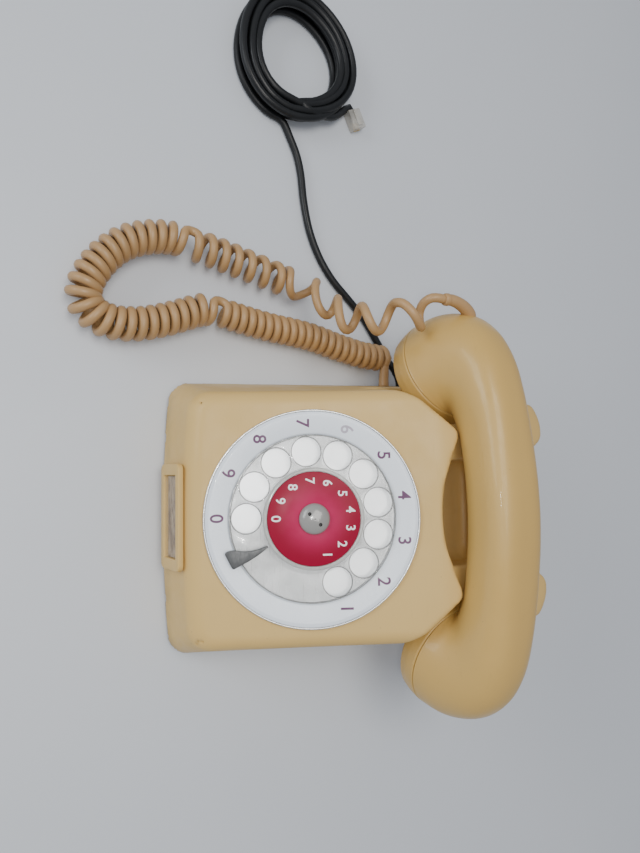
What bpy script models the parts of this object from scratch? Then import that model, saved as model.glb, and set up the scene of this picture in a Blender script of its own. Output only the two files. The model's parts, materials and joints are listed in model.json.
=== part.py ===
"""Rotary desk phone: a wedge-shaped housing with a finger-wheel dial, a handset lying across the rear cradle,
a coiled handset cord and a coiled line cord with a modular plug.

Frame: +X is the user's right, +Y is away from the user, +Z is up. The origin is on the table under the middle
of the phone. Every length below is in millimetres and becomes metres when a mesh is made.
"""
import math

import bmesh
import bpy
from mathutils import Euler, Vector

MM = 0.001
GAP = 0.3  # clearance between pieces that touch

# --- driving dimensions: housing ---------------------------------------------------------------------------
WALL = 2.8
HOUSING_BOTTOM = 2.3
FRONT_Y = -95.5
FRONT_TOP_Z = 35.4
FACE_SLOPE = math.radians(25.2)
CREST_Y = 29.0  # where the sloping face meets the level top of the cradle
CREST_Z = FRONT_TOP_Z + (CREST_Y - FRONT_Y) * math.tan(FACE_SLOPE)
TOP_REAR_Y = 95.2
BASE_REAR_Y = 99.9
TOP_HALF_FRONT = 62.2
TOP_HALF_REAR = 64.4
BASE_HALF_FRONT = 71.5
BASE_HALF_REAR = 79.0
EDGE_ROUND = 6.0
FRONT_BULGE = 3.2  # how far the front wall's middle stands before its ends
FRONT_ROUND = 10.0
REAR_ROUND = 24.0
FRONT_LEAN = 1.4  # how far the front wall's foot stands before its top
SHELF_Z = 40.0  # level of the shelf under each cup of the handset
SCOOP_HALF = 27.0
SCOOP_FRONT = 21.4  # front edge of the finger recess in the middle of the phone
SCOOP_ARC = 85.0  # radius of that edge seen from above
SCOOP_BOTTOM = 60.0
STEP_HALF = 48.0
STEP_BOTTOM = 84.0  # tops of the pillars beside the recess
NOTCH_BOTTOM = 73.0  # lower edge of the opening between the two rear horns
NOTCH_HALF = 34.0
SADDLE_CLEARANCE = 0.6  # between the handle and the cradle under it

# --- driving dimensions: dial ------------------------------------------------------------------------------
DIAL_Y = -39.9
DIAL_Z = FRONT_TOP_Z + (DIAL_Y - FRONT_Y) * math.tan(FACE_SLOPE)
RING_RADIUS = 52.7
BEZEL_WIDTH = 1.0
WHEEL_RADIUS = 41.3
HOLE_RADIUS = 7.1
HOLE_CIRCLE = 33.0
HOLE_COUNT = 10
FIRST_HOLE_ANGLE = math.radians(-91.1)  # the hole over the digit 0, from +X towards the face's upper edge
HOLE_STEP = math.radians(-27.68)
STOP_ANGLE = math.radians(-63.4)
DISC_RADIUS = 23.0
SHAFT_RADIUS = 3.1
MAIN_TEETH = 28
PINION_TEETH = 7
GEAR_MODULE = 1.4
GEAR_CENTRES = (MAIN_TEETH + PINION_TEETH) * GEAR_MODULE / 2 + 0.15

# --- driving dimensions: handset ---------------------------------------------------------------------------
HANDLE_Y = 46.5
CUP_TILT = 21.0  # degrees that each cup leans towards the middle
CUP_RADIUS = 30.0
CUP_JOINT = (79.3, 45.3, 69.3)  # centre of the joint between cup and cap, on the +X side
PLUNGER_X = 33.8
PLUNGER_Y = 46.5
PLUNGER_TOP = 86.2
LEVER_PIVOT = (0.0, 26.0, 46.9)
GONG_X = 30.0
GONG_Y = 60.0
CLAPPER_PIVOT = (0.0, 41.0, 20.7)

# --- driving dimensions: cords -----------------------------------------------------------------------------
LINE_RADIUS = 2.35
COIL_CENTRE = (-278.0, -14.0)
COIL_MEAN_RADIUS = 34.7
COIL_WIDTH = 15.0
COIL_HEIGHT = 14.0
CURLY_RADIUS = 8.8
PLUG_CENTRE = (-252.3, 31.4)
PLUG_TURN = math.radians(25.5)
PLUG_SIZE = (12.4, 9.65, 6.6)

# Route of the coiled handset cord: from the boot on the left wall, round the loop on the table, and up to the
# boot on the handset.
CURLY_ROUTE = [
    (-88.9, 44.6, 12.35), (-93.0, 44.4, 12.9), (-96.2, 38.4, 11.9), (-96.8, 28.0, 10.0), (-98.4, 17.0, 9.2),
    (-101.4, -3.0, 9.2), (-104.0, -19.0, 9.2), (-105.8, -33.7, 9.2), (-108.3, -47.7, 9.2),
    (-111.3, -58.5, 9.2), (-112.4, -67.0, 9.2), (-110.4, -76.0, 9.2), (-106.4, -87.4, 9.2),
    (-102.6, -99.4, 9.2), (-99.8, -111.5, 9.2), (-99.2, -122.7, 9.2), (-102.0, -133.5, 9.2),
    (-109.5, -140.0, 9.2), (-119.0, -138.5, 9.2), (-128.2, -133.0, 9.2), (-136.0, -126.4, 9.2),
    (-142.4, -118.6, 9.2), (-146.6, -108.5, 9.2), (-148.6, -97.0, 9.2), (-148.2, -86.5, 9.2),
    (-145.6, -76.0, 9.2), (-143.4, -65.3, 9.2), (-141.8, -55.5, 9.2), (-138.9, -42.5, 9.2),
    (-136.4, -31.5, 9.2), (-134.2, -23.0, 10.2), (-130.6, -15.6, 14.8), (-124.0, -11.0, 25.0),
    (-115.6, -9.2, 36.5), (-108.0, -7.4, 48.0), (-104.2, -4.8, 60.0), (-102.9, -1.2, 70.0),
    (-103.3, 4.6, 77.4), (-104.6, 10.2, 82.2), (-105.6, 13.0, 84.4)]
HANDSET_BOOT_ROUTE = [
    (-109.1, 45.6, 87.7), (-111.1, 40.8, 88.9), (-112.3, 34.5, 89.2), (-112.2, 28.0, 88.7), (-110.8, 21.8, 87.7),
    (-108.4, 16.8, 86.2)]
# Route of the line cord: from the gland on the left wall, along the table, to the side of its coil.
LINE_ROUTE = [
    (-85.4, 58.9, 7.9), (-89.8, 57.2, 5.4), (-95.5, 53.8, 3.0), (-102.5, 49.2, 2.45), (-112.5, 42.2, 2.45),
    (-122.6, 34.4, 2.45), (-132.9, 23.3, 2.45), (-143.6, 11.8, 2.45), (-156.8, 2.4, 2.45),
    (-172.7, -4.3, 2.45), (-190.6, -8.0, 2.45), (-206.0, -9.6, 2.45), (-218.0, -12.4, 2.45),
    (-227.2, -16.4, 2.45), (-232.6, -19.8, 2.45)]


def clear_scene():
    for obj in list(bpy.data.objects):
        bpy.data.objects.remove(obj, do_unlink=True)


MATERIALS = {
    # name: (colour, roughness, metallic, alpha)
    "housing_plastic": ((0.60, 0.47, 0.27), 0.35, 0.0, 1.0),
    "handset_plastic": ((0.55, 0.40, 0.19), 0.33, 0.0, 1.0),
    "ring_plastic": ((0.66, 0.70, 0.76), 0.35, 0.0, 1.0),
    "clear_plastic": ((0.85, 0.88, 0.90), 0.12, 0.0, 0.35),
    "red_plastic": ((0.58, 0.01, 0.05), 0.25, 0.0, 1.0),
    "grey_plastic": ((0.35, 0.34, 0.32), 0.45, 0.0, 1.0),
    "black_plastic": ((0.02, 0.02, 0.02), 0.45, 0.0, 1.0),
    "cord_beige": ((0.60, 0.40, 0.22), 0.40, 0.0, 1.0),
    "cord_black": ((0.01, 0.01, 0.012), 0.25, 0.0, 1.0),
    "rubber": ((0.05, 0.05, 0.05), 0.80, 0.0, 1.0),
    "steel": ((0.45, 0.46, 0.47), 0.30, 1.0, 1.0),
    "zinc_plate": ((0.60, 0.60, 0.58), 0.40, 1.0, 1.0),
    "brass": ((0.70, 0.52, 0.22), 0.30, 1.0, 1.0),
    "copper_winding": ((0.55, 0.22, 0.10), 0.40, 1.0, 1.0),
    "paper_card": ((0.42, 0.36, 0.28), 0.80, 0.0, 1.0),
    "board": ((0.16, 0.11, 0.05), 0.60, 0.0, 1.0),
}


def material(name):
    """The named material, made once with its colour, roughness, metallic value and alpha."""
    known = bpy.data.materials.get(name)
    if known:
        return known
    colour, roughness, metallic, alpha = MATERIALS[name]
    made = bpy.data.materials.new(name)
    made.use_nodes = True
    shader = made.node_tree.nodes["Principled BSDF"]
    shader.inputs["Base Color"].default_value = (*colour, 1.0)
    shader.inputs["Roughness"].default_value = roughness
    shader.inputs["Metallic"].default_value = metallic
    shader.inputs["Alpha"].default_value = alpha
    return made


# --- mesh helpers ------------------------------------------------------------------------------------------
def mesh_object(name, points, faces, finish, sharp_angle=35.0):
    """A closed mesh object from points in millimetres, with its faces turned outwards and smooth shading."""
    mesh = bpy.data.meshes.new(name)
    mesh.from_pydata([Vector(p) * MM for p in points], [], faces)
    work = bmesh.new()
    work.from_mesh(mesh)
    bmesh.ops.recalc_face_normals(work, faces=work.faces)
    work.to_mesh(mesh)
    work.free()
    mesh.shade_smooth()
    mesh.set_sharp_from_angle(angle=math.radians(sharp_angle))
    obj = bpy.data.objects.new(name, mesh)
    bpy.context.collection.objects.link(obj)
    if finish:
        mesh.materials.append(material(finish))
    return obj


def bridge(rings, closed_ends=True):
    """Points and faces of a skin over rings that all have the same number of points."""
    count = len(rings[0])
    points = [p for ring in rings for p in ring]
    faces = []
    for level in range(len(rings) - 1):
        for i in range(count):
            j = (i + 1) % count
            low, high = level * count, (level + 1) * count
            faces.append((low + i, low + j, high + j, high + i))
    if closed_ends:
        faces.append(tuple(range(count)))
        faces.append(tuple(range((len(rings) - 1) * count, len(rings) * count)))
    return points, faces


def loft(name, rings, finish, sharp_angle=35.0):
    points, faces = bridge(rings)
    return mesh_object(name, points, faces, finish, sharp_angle)


def turned(name, profile, finish, sides=32, sharp_angle=35.0):
    """A piece turned about Z from an outline of (radius, height). An outline that starts and ends on the axis
    makes a solid piece; any other outline is joined back to its start and makes a ring."""
    solid = profile[0][0] == 0 and profile[-1][0] == 0
    inner = profile[1:-1] if solid else profile
    rings = []
    for radius, height in inner:
        turn = [math.tau * i / sides for i in range(sides)]
        rings.append([(radius * math.cos(a), radius * math.sin(a), height) for a in turn])
    if not solid:
        rings.append(rings[0])
        points, faces = bridge(rings, closed_ends=False)
        first = len(points) - sides
        faces = [tuple(i - first if i >= first else i for i in face) for face in faces]
        return mesh_object(name, points[:first], faces, finish, sharp_angle)
    points, faces = bridge(rings, closed_ends=False)
    for tip, beside, ring in ((profile[0], profile[1], 0), (profile[-1], profile[-2], len(rings) - 1)):
        if tip[1] == beside[1]:
            faces.append(tuple(range(ring * sides, (ring + 1) * sides)))
            continue
        points.append((0, 0, tip[1]))
        centre = len(points) - 1
        for i in range(sides):
            faces.append((ring * sides + i, ring * sides + (i + 1) % sides, centre))
    return mesh_object(name, points, faces, finish, sharp_angle)


def cylinder(name, radius, low, high, finish, sides=16):
    return turned(name, [(0, low), (radius, low), (radius, high), (0, high)], finish, sides)


def box(name, low, high, finish, bevel=0.0):
    """A box between two corners, with bevel millimetres taken off its edges."""
    x0, y0, z0 = low
    x1, y1, z1 = high
    rings = [[(x0, y0, z), (x1, y0, z), (x1, y1, z), (x0, y1, z)] for z in (z0, z1)]
    obj = loft(name, rings, finish)
    if bevel:
        edge = obj.modifiers.new("rounded edges", "BEVEL")
        edge.width = bevel * MM
        edge.segments = 2 if bevel > 2 else 1
    return obj


def extruded(name, outline, low, high, finish):
    """A flat outline of (x, y) raised from low to high."""
    return loft(name, [[(x, y, z) for x, y in outline] for z in (low, high)], finish)


def boolean(target, cutter, operation="DIFFERENCE"):
    """Cuts or joins, and leaves the cutter out of the model."""
    step = target.modifiers.new(cutter.name, "BOOLEAN")
    step.operation = operation
    step.solver = "EXACT"
    step.object = cutter
    cutter.hide_render = True
    cutter.display_type = "WIRE"


def placed(obj, location, rotation=(0, 0, 0), parent=None):
    obj.location = Vector(location) * MM
    obj.rotation_euler = Euler(rotation)
    if parent:
        obj.parent = parent
    return obj


def empty(name, location, rotation=(0, 0, 0), parent=None):
    """An empty that carries the pieces of one assembly."""
    made = bpy.data.objects.new(name, None)
    bpy.context.collection.objects.link(made)
    return placed(made, location, rotation, parent)


def smooth_curve(route, spacing):
    """Points about spacing apart on one smooth curve through the route's points."""
    knots = [Vector(p) for p in route]
    knots = [2 * knots[0] - knots[1]] + knots + [2 * knots[-1] - knots[-2]]
    fine = []
    for a, b, c, d in zip(knots, knots[1:], knots[2:], knots[3:]):
        for step in range(16):
            t = step / 16
            fine.append(0.5 * (2 * b + (c - a) * t + (2 * a - 5 * b + 4 * c - d) * t**2
                               + (3 * b - 3 * c + d - a) * t**3))
    fine.append(knots[-2])
    lengths = [0.0]
    for a, b in zip(fine, fine[1:]):
        lengths.append(lengths[-1] + (b - a).length)
    count = max(2, round(lengths[-1] / spacing))
    points, j = [], 0
    for i in range(count + 1):
        want = lengths[-1] * i / count
        while j < len(lengths) - 2 and lengths[j + 1] < want:
            j += 1
        span = lengths[j + 1] - lengths[j]
        points.append(fine[j].lerp(fine[j + 1], (want - lengths[j]) / span))
    return points


def tube(name, route, radius, spacing, finish, resolution=2, taper=None):
    """A round cord or sleeve along a route, as a curve object with a bevel and filled caps. taper gives the
    radius at the far end as a fraction of the radius at the start."""
    points = smooth_curve(route, spacing)
    data = bpy.data.curves.new(name, "CURVE")
    data.dimensions = "3D"
    data.bevel_depth = radius * MM
    data.bevel_resolution = resolution
    data.use_fill_caps = True
    spline = data.splines.new("POLY")
    spline.points.add(len(points) - 1)
    for i, point in enumerate(points):
        spline.points[i].co = (*(point * MM), 1.0)
        spline.points[i].radius = 1.0 + ((taper or 1.0) - 1.0) * i / (len(points) - 1)
    obj = bpy.data.objects.new(name, data)
    bpy.context.collection.objects.link(obj)
    data.materials.append(material(finish))
    return obj


def arc(centre, radius, start, end, steps):
    """Points (x, y) on an arc, angles in degrees."""
    turn = [math.radians(start + (end - start) * i / steps) for i in range(steps + 1)]
    return [(centre[0] + radius * math.cos(a), centre[1] + radius * math.sin(a)) for a in turn]


def rounded_rectangle(half_x, half_y, radius, steps=4):
    outline = []
    for sign_x, sign_y, start in ((1, 1, 0), (-1, 1, 90), (-1, -1, 180), (1, -1, 270)):
        centre = (sign_x * (half_x - radius), sign_y * (half_y - radius))
        outline += arc(centre, radius, start, start + 90, steps)
    return outline


# --- housing -----------------------------------------------------------------------------------------------
def plan(front_half, rear_half, front_y, rear_y, front_round, rear_round):
    """The outline of the housing at one level, counter-clockwise from the rear right corner. Both sides have a
    point at the crest, so that the level top can start there."""
    outline = arc((rear_half - rear_round, rear_y - rear_round), rear_round, 0, 90, 5)
    outline += arc((-rear_half + rear_round, rear_y - rear_round), rear_round, 90, 180, 5)
    side = [CREST_Y, -10.0, -45.0]
    reach = rear_y - rear_round - front_y

    def half_at(y):
        return front_half + (rear_half - front_half) * (y - front_y) / reach

    outline += [(-half_at(y), y) for y in side]
    front = arc((-front_half + front_round, front_y + front_round), front_round, 180, 270, 5)
    front += [(x, front_y) for x in (-36.0, -18.0, 0.0, 18.0, 36.0)]
    front += arc((front_half - front_round, front_y + front_round), front_round, 270, 360, 5)
    outline += [(x, y + FRONT_BULGE * (x / front_half) ** 2) for x, y in front]
    outline += [(half_at(y), y) for y in reversed(side)]
    return outline


def top_z(y):
    return min(FRONT_TOP_Z + (y - FRONT_Y) * math.tan(FACE_SLOPE), CREST_Z)


def wedge(name, inset, bottom, finish=None):
    """The housing's block, or the space inside it when inset is the wall's thickness."""
    base = plan(BASE_HALF_FRONT - inset, BASE_HALF_REAR - inset, FRONT_Y - FRONT_LEAN + inset,
                BASE_REAR_Y - inset, FRONT_ROUND - inset / 2, REAR_ROUND - inset)
    top = plan(TOP_HALF_FRONT - inset, TOP_HALF_REAR - inset, FRONT_Y + inset, TOP_REAR_Y - inset,
               FRONT_ROUND - inset / 2, REAR_ROUND - 2 - inset)
    drop = inset * 1.1
    lower = [Vector((x, y, bottom)) for x, y in base]
    upper = [Vector((x, y, top_z(y) - drop)) for x, y in top]
    rings = [lower]
    middle = Vector((0, 0, 0))
    for step in range(5):
        t = step / 4
        ring = []
        for low, high in zip(lower, upper):
            down = (low - high).normalized() * EDGE_ROUND
            on_side = abs(high.x) > TOP_HALF_FRONT - 8
            inward = Vector((middle.x - high.x, 0, 0)) if on_side else middle - high
            inward.z = 0
            inward = inward.normalized() * EDGE_ROUND
            inward.z = top_z(high.y + inward.y) - top_z(high.y)
            ring.append((1 - t) ** 2 * (high + down) + 2 * t * (1 - t) * high + t**2 * (high + inward))
        rings.append(ring)
    points, faces = bridge(rings, closed_ends=False)
    count = len(lower)
    last = (len(rings) - 1) * count
    faces.append(tuple(range(count)))
    # The top is a sloping face in front of the crest and a level one behind it.
    left = 12
    right = count - 1
    faces.append(tuple(last + i for i in range(left, right + 1)))
    faces.append(tuple(last + i for i in [right] + list(range(left + 1))))
    obj = mesh_object(name, points, faces, finish, sharp_angle=30.0)
    return obj


def flank_outline(side, grow=0.0):
    """Plan of the hollow beside the cradle's neck, where a cup of the handset hangs."""
    edge = [(95, -4), (74, 0), (65.5, 4.5), (60, 11), (54.5, 17), (49, 23), (44.5, 28.5), (41.8, 35),
            (41, 45), (41, 57), (43.5, 66), (48.5, 72), (54.5, 76), (58.2, 81), (59.2, 87), (57, 92.5),
            (51, 98), (51, 116), (95, 117)]
    outline = []
    for i, (x, y) in enumerate(edge):
        before = Vector(edge[max(i - 1, 0)])
        after = Vector(edge[min(i + 1, len(edge) - 1)])
        along = (after - before).normalized()
        outline.append((side * (x - grow * along.y), y + grow * along.x))
    return outline


def flank_cutter(side, grow=0.0):
    word = "left" if side < 0 else "right"
    outline = flank_outline(side, grow)
    return extruded(f"cut_flank_{word}_{grow:.0f}", outline, SHELF_Z - grow, 130, None)


def scoop_cutter(grow=0.0):
    """The hollow for the fingers between the face and the handle."""
    rings = []
    for level, shrink in ((SCOOP_BOTTOM - grow, 6.0), (SCOOP_BOTTOM + 3 - grow, 2.0),
                          (SCOOP_BOTTOM + 9, 0.0), (130, 0.0)):
        reach = SCOOP_HALF + grow - shrink
        places = [reach * i / 6 for i in range(-5, 6)]
        front = [(x, SCOOP_FRONT + x**2 / (2 * SCOOP_ARC)) for x in places]
        outline = [(x, y - grow + shrink) for x, y in front]
        corner, end, rear = 31.0 - grow + shrink, 56.0 + grow - shrink, 63.0 + grow - shrink
        outline += [(reach, corner), (reach, end), (reach - 6, rear)]
        outline += [(6 - reach, rear), (-reach, end), (-reach, corner)]
        rings.append([(x, y, level) for x, y in outline])
    return loft(f"cut_scoop_{grow:.0f}", rings, None)


def step_cutter(grow=0.0):
    """The drop behind the face's upper edge, down to the tops of the two pillars that carry the handle."""
    reach = STEP_HALF + grow
    places = [reach * i / 6 for i in range(-6, 7)]
    outline = [(x, SCOOP_FRONT + x**2 / (2 * SCOOP_ARC) - grow) for x in places]
    outline += [(reach, 56), (-reach, 56)]
    return extruded(f"cut_step_{grow:.0f}", outline, STEP_BOTTOM - grow, 130, None)


def notch_cutter(grow=0.0):
    """The opening between the two rear horns, which are round where it ends."""
    half = [(NOTCH_HALF, 56), (NOTCH_HALF, 83), (NOTCH_HALF + 2, 89), (NOTCH_HALF + 6, 93.5),
            (NOTCH_HALF + 13, 97), (NOTCH_HALF + 14, 116)]
    outline = [(x + grow, y) for x, y in half] + [(-x - grow, y) for x, y in reversed(half)]
    outline[0] = (outline[0][0], outline[0][1] - grow)
    outline[-1] = (outline[-1][0], outline[-1][1] - grow)
    return extruded(f"cut_rear_notch_{grow:.0f}", outline, NOTCH_BOTTOM - grow, 130, None)


def build_housing():
    housing = wedge("housing", 0.0, HOUSING_BOTTOM, "housing_plastic")
    for side in (-1, 1):
        boolean(housing, flank_cutter(side))
    boolean(housing, scoop_cutter())
    boolean(housing, step_cutter())
    boolean(housing, notch_cutter())
    saddle = loft("cut_saddle", handle_rings(5, SADDLE_CLEARANCE), None)
    boolean(housing, saddle)

    hollow = wedge("cut_hollow", WALL, -5.0)
    for side in (-1, 1):
        boolean(hollow, flank_cutter(side, WALL))
    boolean(hollow, scoop_cutter(WALL))
    boolean(hollow, step_cutter(WALL))
    saddle_floor = box("cut_saddle_floor", (-100, 20, 80.5), (100, 130, 140), None)
    boolean(hollow, saddle_floor)
    boolean(hollow, notch_cutter(WALL))
    boolean(housing, hollow)

    well = cylinder("cut_dial_well", 50.4, -30, 15, None, 40)
    placed(well, (0, DIAL_Y, DIAL_Z), (FACE_SLOPE, 0, 0))
    boolean(housing, well)
    for side in (-1, 1):
        hole = cylinder(f"cut_plunger_{side}", 3.3, 70, 100, None, 16)
        boolean(housing, placed(hole, (side * PLUNGER_X, PLUNGER_Y, 0)))
    for word, y, z in (("curly", 44.6, 11.0), ("line", 59.6, 9.0)):
        hole = cylinder(f"cut_{word}_exit", 3.5, -20, 20, None, 16)
        boolean(housing, placed(hole, (-76, y, z), (0, math.radians(90), 0)))
    return housing


def base_outline(inset):
    return plan(BASE_HALF_FRONT - inset, BASE_HALF_REAR - inset, FRONT_Y - FRONT_LEAN + inset,
                BASE_REAR_Y - inset, FRONT_ROUND - inset / 2, REAR_ROUND - inset / 2)


SCREW_PLACES = [(-62, -8), (62, -8)]


def build_base():
    plate = extruded("base_plate", base_outline(WALL + 2.0), 2.0, 3.6, "zinc_plate")
    for i, (x, y) in enumerate(SCREW_PLACES):
        hole = cylinder(f"cut_screw_{i}", 1.9, -5, 10, None, 12)
        boolean(plate, placed(hole, (x, y, 0)))
    for i, (x, y) in enumerate([(-54, -62), (54, -62), (-60, 44), (60, 44)]):
        placed(turned(f"foot_{i + 1}", [(0, 0), (6.0, 0), (7.0, 0.8), (7.0, 1.7), (0, 1.7)], "rubber", 20),
               (x, y, 0))
    screw = [(0, 0.5), (3.0, 0.5), (3.4, 1.0), (3.4, 1.7), (1.5, 1.7), (1.5, 12.0), (0, 12.6)]
    for (x, y), word in zip(SCREW_PLACES, ("left", "right")):
        placed(turned(f"base_screw_{word}", screw, "steel", 12), (x, y, 0))


def build_label():
    """Number-label holder on the front wall: frame, card and clear window, all leaning with the wall."""
    lean = math.atan2(FRONT_LEAN, FRONT_TOP_Z - HOUSING_BOTTOM)
    holder = empty("label_holder", (-1.5, FRONT_Y - 0.72, 20.5), (math.radians(90) - lean, 0, 0))
    outer = rounded_rectangle(26.4, 11.8, 3.0, 3)
    frame = extruded("label_frame", outer, 0.35, 3.2, "housing_plastic")
    window = extruded("cut_label_window", rounded_rectangle(20.6, 7.6, 1.0, 2), -1, 5, None)
    window.parent = holder
    boolean(frame, window)
    card = extruded("label_card", rounded_rectangle(20.3, 7.3, 0.7, 2), 0.4, 0.9, "paper_card")
    cover = extruded("label_window", rounded_rectangle(20.3, 7.3, 0.7, 2), 1.3, 2.3, "clear_plastic")
    for obj in (frame, card, cover):
        obj.parent = holder


# --- dial --------------------------------------------------------------------------------------------------
def hole_angle(index):
    return FIRST_HOLE_ANGLE + HOLE_STEP * index


def gear(name, teeth, low, high, bore, finish):
    """A spur gear with straight-sided teeth and some backlash."""
    pitch = teeth * GEAR_MODULE / 2
    tip, root = pitch + 0.8 * GEAR_MODULE, pitch - 1.15 * GEAR_MODULE
    outline = []
    for i in range(teeth):
        for share, radius in ((-0.26, root), (-0.11, tip), (0.11, tip), (0.26, root)):
            a = math.tau * (i + share) / teeth
            outline.append((radius * math.cos(a), radius * math.sin(a)))
    wheel = extruded(name, outline, low, high, finish)
    if bore:
        cutter = cylinder(f"cut_{name}_bore", bore, low - 5, high + 5, None, 16)
        boolean(wheel, placed(cutter, (0, 0, 0), parent=wheel))
    return wheel


def build_dial():
    dial = empty("dial_axis", (0, DIAL_Y, DIAL_Z), (FACE_SLOPE, 0, 0))

    def fix(obj, location=(0, 0, 0), rotation=(0, 0, 0)):
        return placed(obj, location, rotation, dial)

    fix(turned("number_ring", [(RING_RADIUS, GAP), (RING_RADIUS, 2.0), (RING_RADIUS - 1.6, 2.2),
                               (42.2, 1.0), (41.9, -1.6), (43.4, -1.6), (49.8, -0.6),
                               (49.8, GAP)], "ring_plastic", 48))
    bezel_inner = RING_RADIUS + GAP
    bezel_outer = bezel_inner + BEZEL_WIDTH
    fix(turned("dial_bezel", [(bezel_inner, GAP), (bezel_outer, GAP), (bezel_outer - 0.2, 2.3),
                              (bezel_inner, 2.4)], "steel", 48))
    fix(turned("dial_plate", [(5.0, -2.4), (5.0, -3.8), (41.0, -3.6), (41.5, -2.2), (28.0, -2.8)],
               "zinc_plate",
               36))
    fix(turned("dial_frame", [(47.6, -4.2), (49.8, -4.2), (49.8, -16.0), (3.8, -16.0), (3.8, -14.0),
                              (47.6, -14.0)], "black_plastic", 28))
    fix(turned("mainspring_drum", [(3.8, -16.4), (15.5, -16.4), (15.5, -23.0), (3.8, -23.0)],
               "zinc_plate", 20))

    wheel = fix(turned("finger_wheel", [(3.5, 1.4), (WHEEL_RADIUS, 1.4), (WHEEL_RADIUS, 3.0),
                                        (WHEEL_RADIUS - 0.6, 3.6), (3.5, 3.6)], "clear_plastic", 48))
    for i in range(HOLE_COUNT):
        a = hole_angle(i)
        cutter = cylinder(f"cut_finger_hole_{i}", HOLE_RADIUS, -1, 6, None, 18)
        boolean(wheel, fix(cutter, (HOLE_CIRCLE * math.cos(a), HOLE_CIRCLE * math.sin(a), 0)))
    fix(turned("centre_disc", [(3.5, 3.9), (DISC_RADIUS, 3.9), (DISC_RADIUS, 4.7), (3.5, 5.2)],
               "red_plastic", 36))
    fix(turned("clamp_band", [(23.4, 3.9), (25.1, 3.9), (25.0, 5.3), (23.4, 5.5)], "clear_plastic", 36))
    dome = [(0, 5.6), (7.5, 5.6), (7.5, 6.6), (6.6, 7.9), (4.8, 8.7), (2.4, 9.1), (0, 9.2)]
    hub = fix(turned("hub_cap", dome, "grey_plastic", 20))
    for side in (-1, 1):
        pin_hole = cylinder(f"cut_spanner_{side}", 0.8, 7.2, 12, None, 8)
        boolean(hub, fix(pin_hole, (side * 3.6, 0, 0)))
    fix(cylinder("dial_shaft", SHAFT_RADIUS, -31.0, 5.1, "steel", 16))
    fix(gear("main_gear", MAIN_TEETH, -26.4, -23.6, SHAFT_RADIUS + GAP, "brass"))
    cam = []
    for i in range(40):
        a = math.tau * i / 40
        lift = 1.4 if i % 4 in (0, 1) else 0.0
        cam.append(((10.0 + lift) * math.cos(a), (10.0 + lift) * math.sin(a)))
    cam_disc = fix(extruded("pulse_cam", cam, -29.8, -27.0, "brass"))
    boolean(cam_disc, fix(cylinder("cut_cam_bore", SHAFT_RADIUS + GAP, -33, -20, None, 16)))

    governor = empty("governor_axis", (0, GEAR_CENTRES, 0), (0, 0, 0), dial)
    half_tooth = math.pi / PINION_TEETH
    # The pinion stands below the wheel's teeth at -Y, turned half a tooth so that they mesh at rest. The wheel
    # has a tooth on +Y, because its tooth count divides by four.
    pinion = gear("governor_pinion", PINION_TEETH, -26.4, -23.6, 1.9, "brass")
    placed(pinion, (0, 0, 0), (0, 0, -math.pi / 2 + half_tooth), governor)
    placed(cylinder("governor_shaft", 1.6, -43.5, -19.0, "steel", 16), (0, 0, 0), (0, 0, 0), governor)
    weights = box("governor_weights", (-9, -3.0, -38.5), (9, 3.0, -33.0), "brass", 1.0)
    weights.parent = governor
    weights_bore = cylinder("cut_weights_bore", 1.9, -45, -25, None, 16)
    weights_bore.parent = governor
    boolean(weights, weights_bore)
    placed(turned("governor_cup", [(2.0, -40.0), (12.0, -40.0), (12.0, -32.0), (13.4, -32.0), (13.4, -41.6),
                                   (2.0, -41.6)], "zinc_plate", 22), (0, 0, 0), (0, 0, 0), governor)
    fix(box("pulse_contacts", (14.0, -4.0, -31.0), (17.5, 4.0, -27.0), "black_plastic"))

    c, s = math.cos(STOP_ANGLE), math.sin(STOP_ANGLE)
    # Seen from above, the horn is straight on the side that meets the finger and hollow on the other.
    horn = [(26.2, 1.4), (31.0, 2.3), (37.0, 2.9), (43.8, 3.0), (45.5, 2.2), (45.5, -4.6), (43.8, -5.4),
            (40.5, -5.0), (37.5, -3.4), (34.0, -1.2), (30.0, 0.2), (26.4, 0.6)]
    outline = [(r * c - w * s, r * s + w * c) for r, w in horn]
    stop = fix(extruded("finger_stop", outline, 4.1, 5.5, "steel"))
    foot = ((41.9, -4.4), (45.3, -4.4), (45.3, 2.0), (41.9, 2.0))
    foot_outline = [(r * c - w * s, r * s + w * c) for r, w in foot]
    stop_foot = fix(extruded("cut_stop_foot", foot_outline, 1.8, 4.8, None))
    boolean(stop, stop_foot, "UNION")
    return dial


# --- handset -----------------------------------------------------------------------------------------------
# Stations on the +X half, from the cap joint to the middle of the handle: x, y, z of the centre, the spine's
# direction above -X in degrees, half height and half width.
HANDSET_STATIONS = [
    (*CUP_JOINT, 90 + CUP_TILT, CUP_RADIUS, CUP_RADIUS), (80.3, 45.4, 76.3, 98.4, 29.5, 27.2),
    (78.2, 45.5, 84.6, 82.4, 27.9, 23.4), (73.7, 45.6, 90.4, 69.3, 25.6, 20.6),
    (68.1, 45.8, 94.2, 57.6, 23.0, 19.0), (62.2, 46.0, 96.6, 46.9, 20.7, 18.1),
    (55.9, 46.2, 98.4, 37.3, 18.7, 17.4), (45.7, 46.5, 100.8, 22.0, 16.4, 16.8),
    (33.0, HANDLE_Y, 103.0, 9.3, 15.3, 16.7), (17.0, HANDLE_Y, 104.9, 4.5, 14.9, 16.7),
    (0.0, HANDLE_Y, 105.6, 0, 14.9, 16.7)]
HANDSET_SIDES = 18
HANDSET_SQUARENESS = 2.15  # 2 would make every section an ellipse
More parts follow.
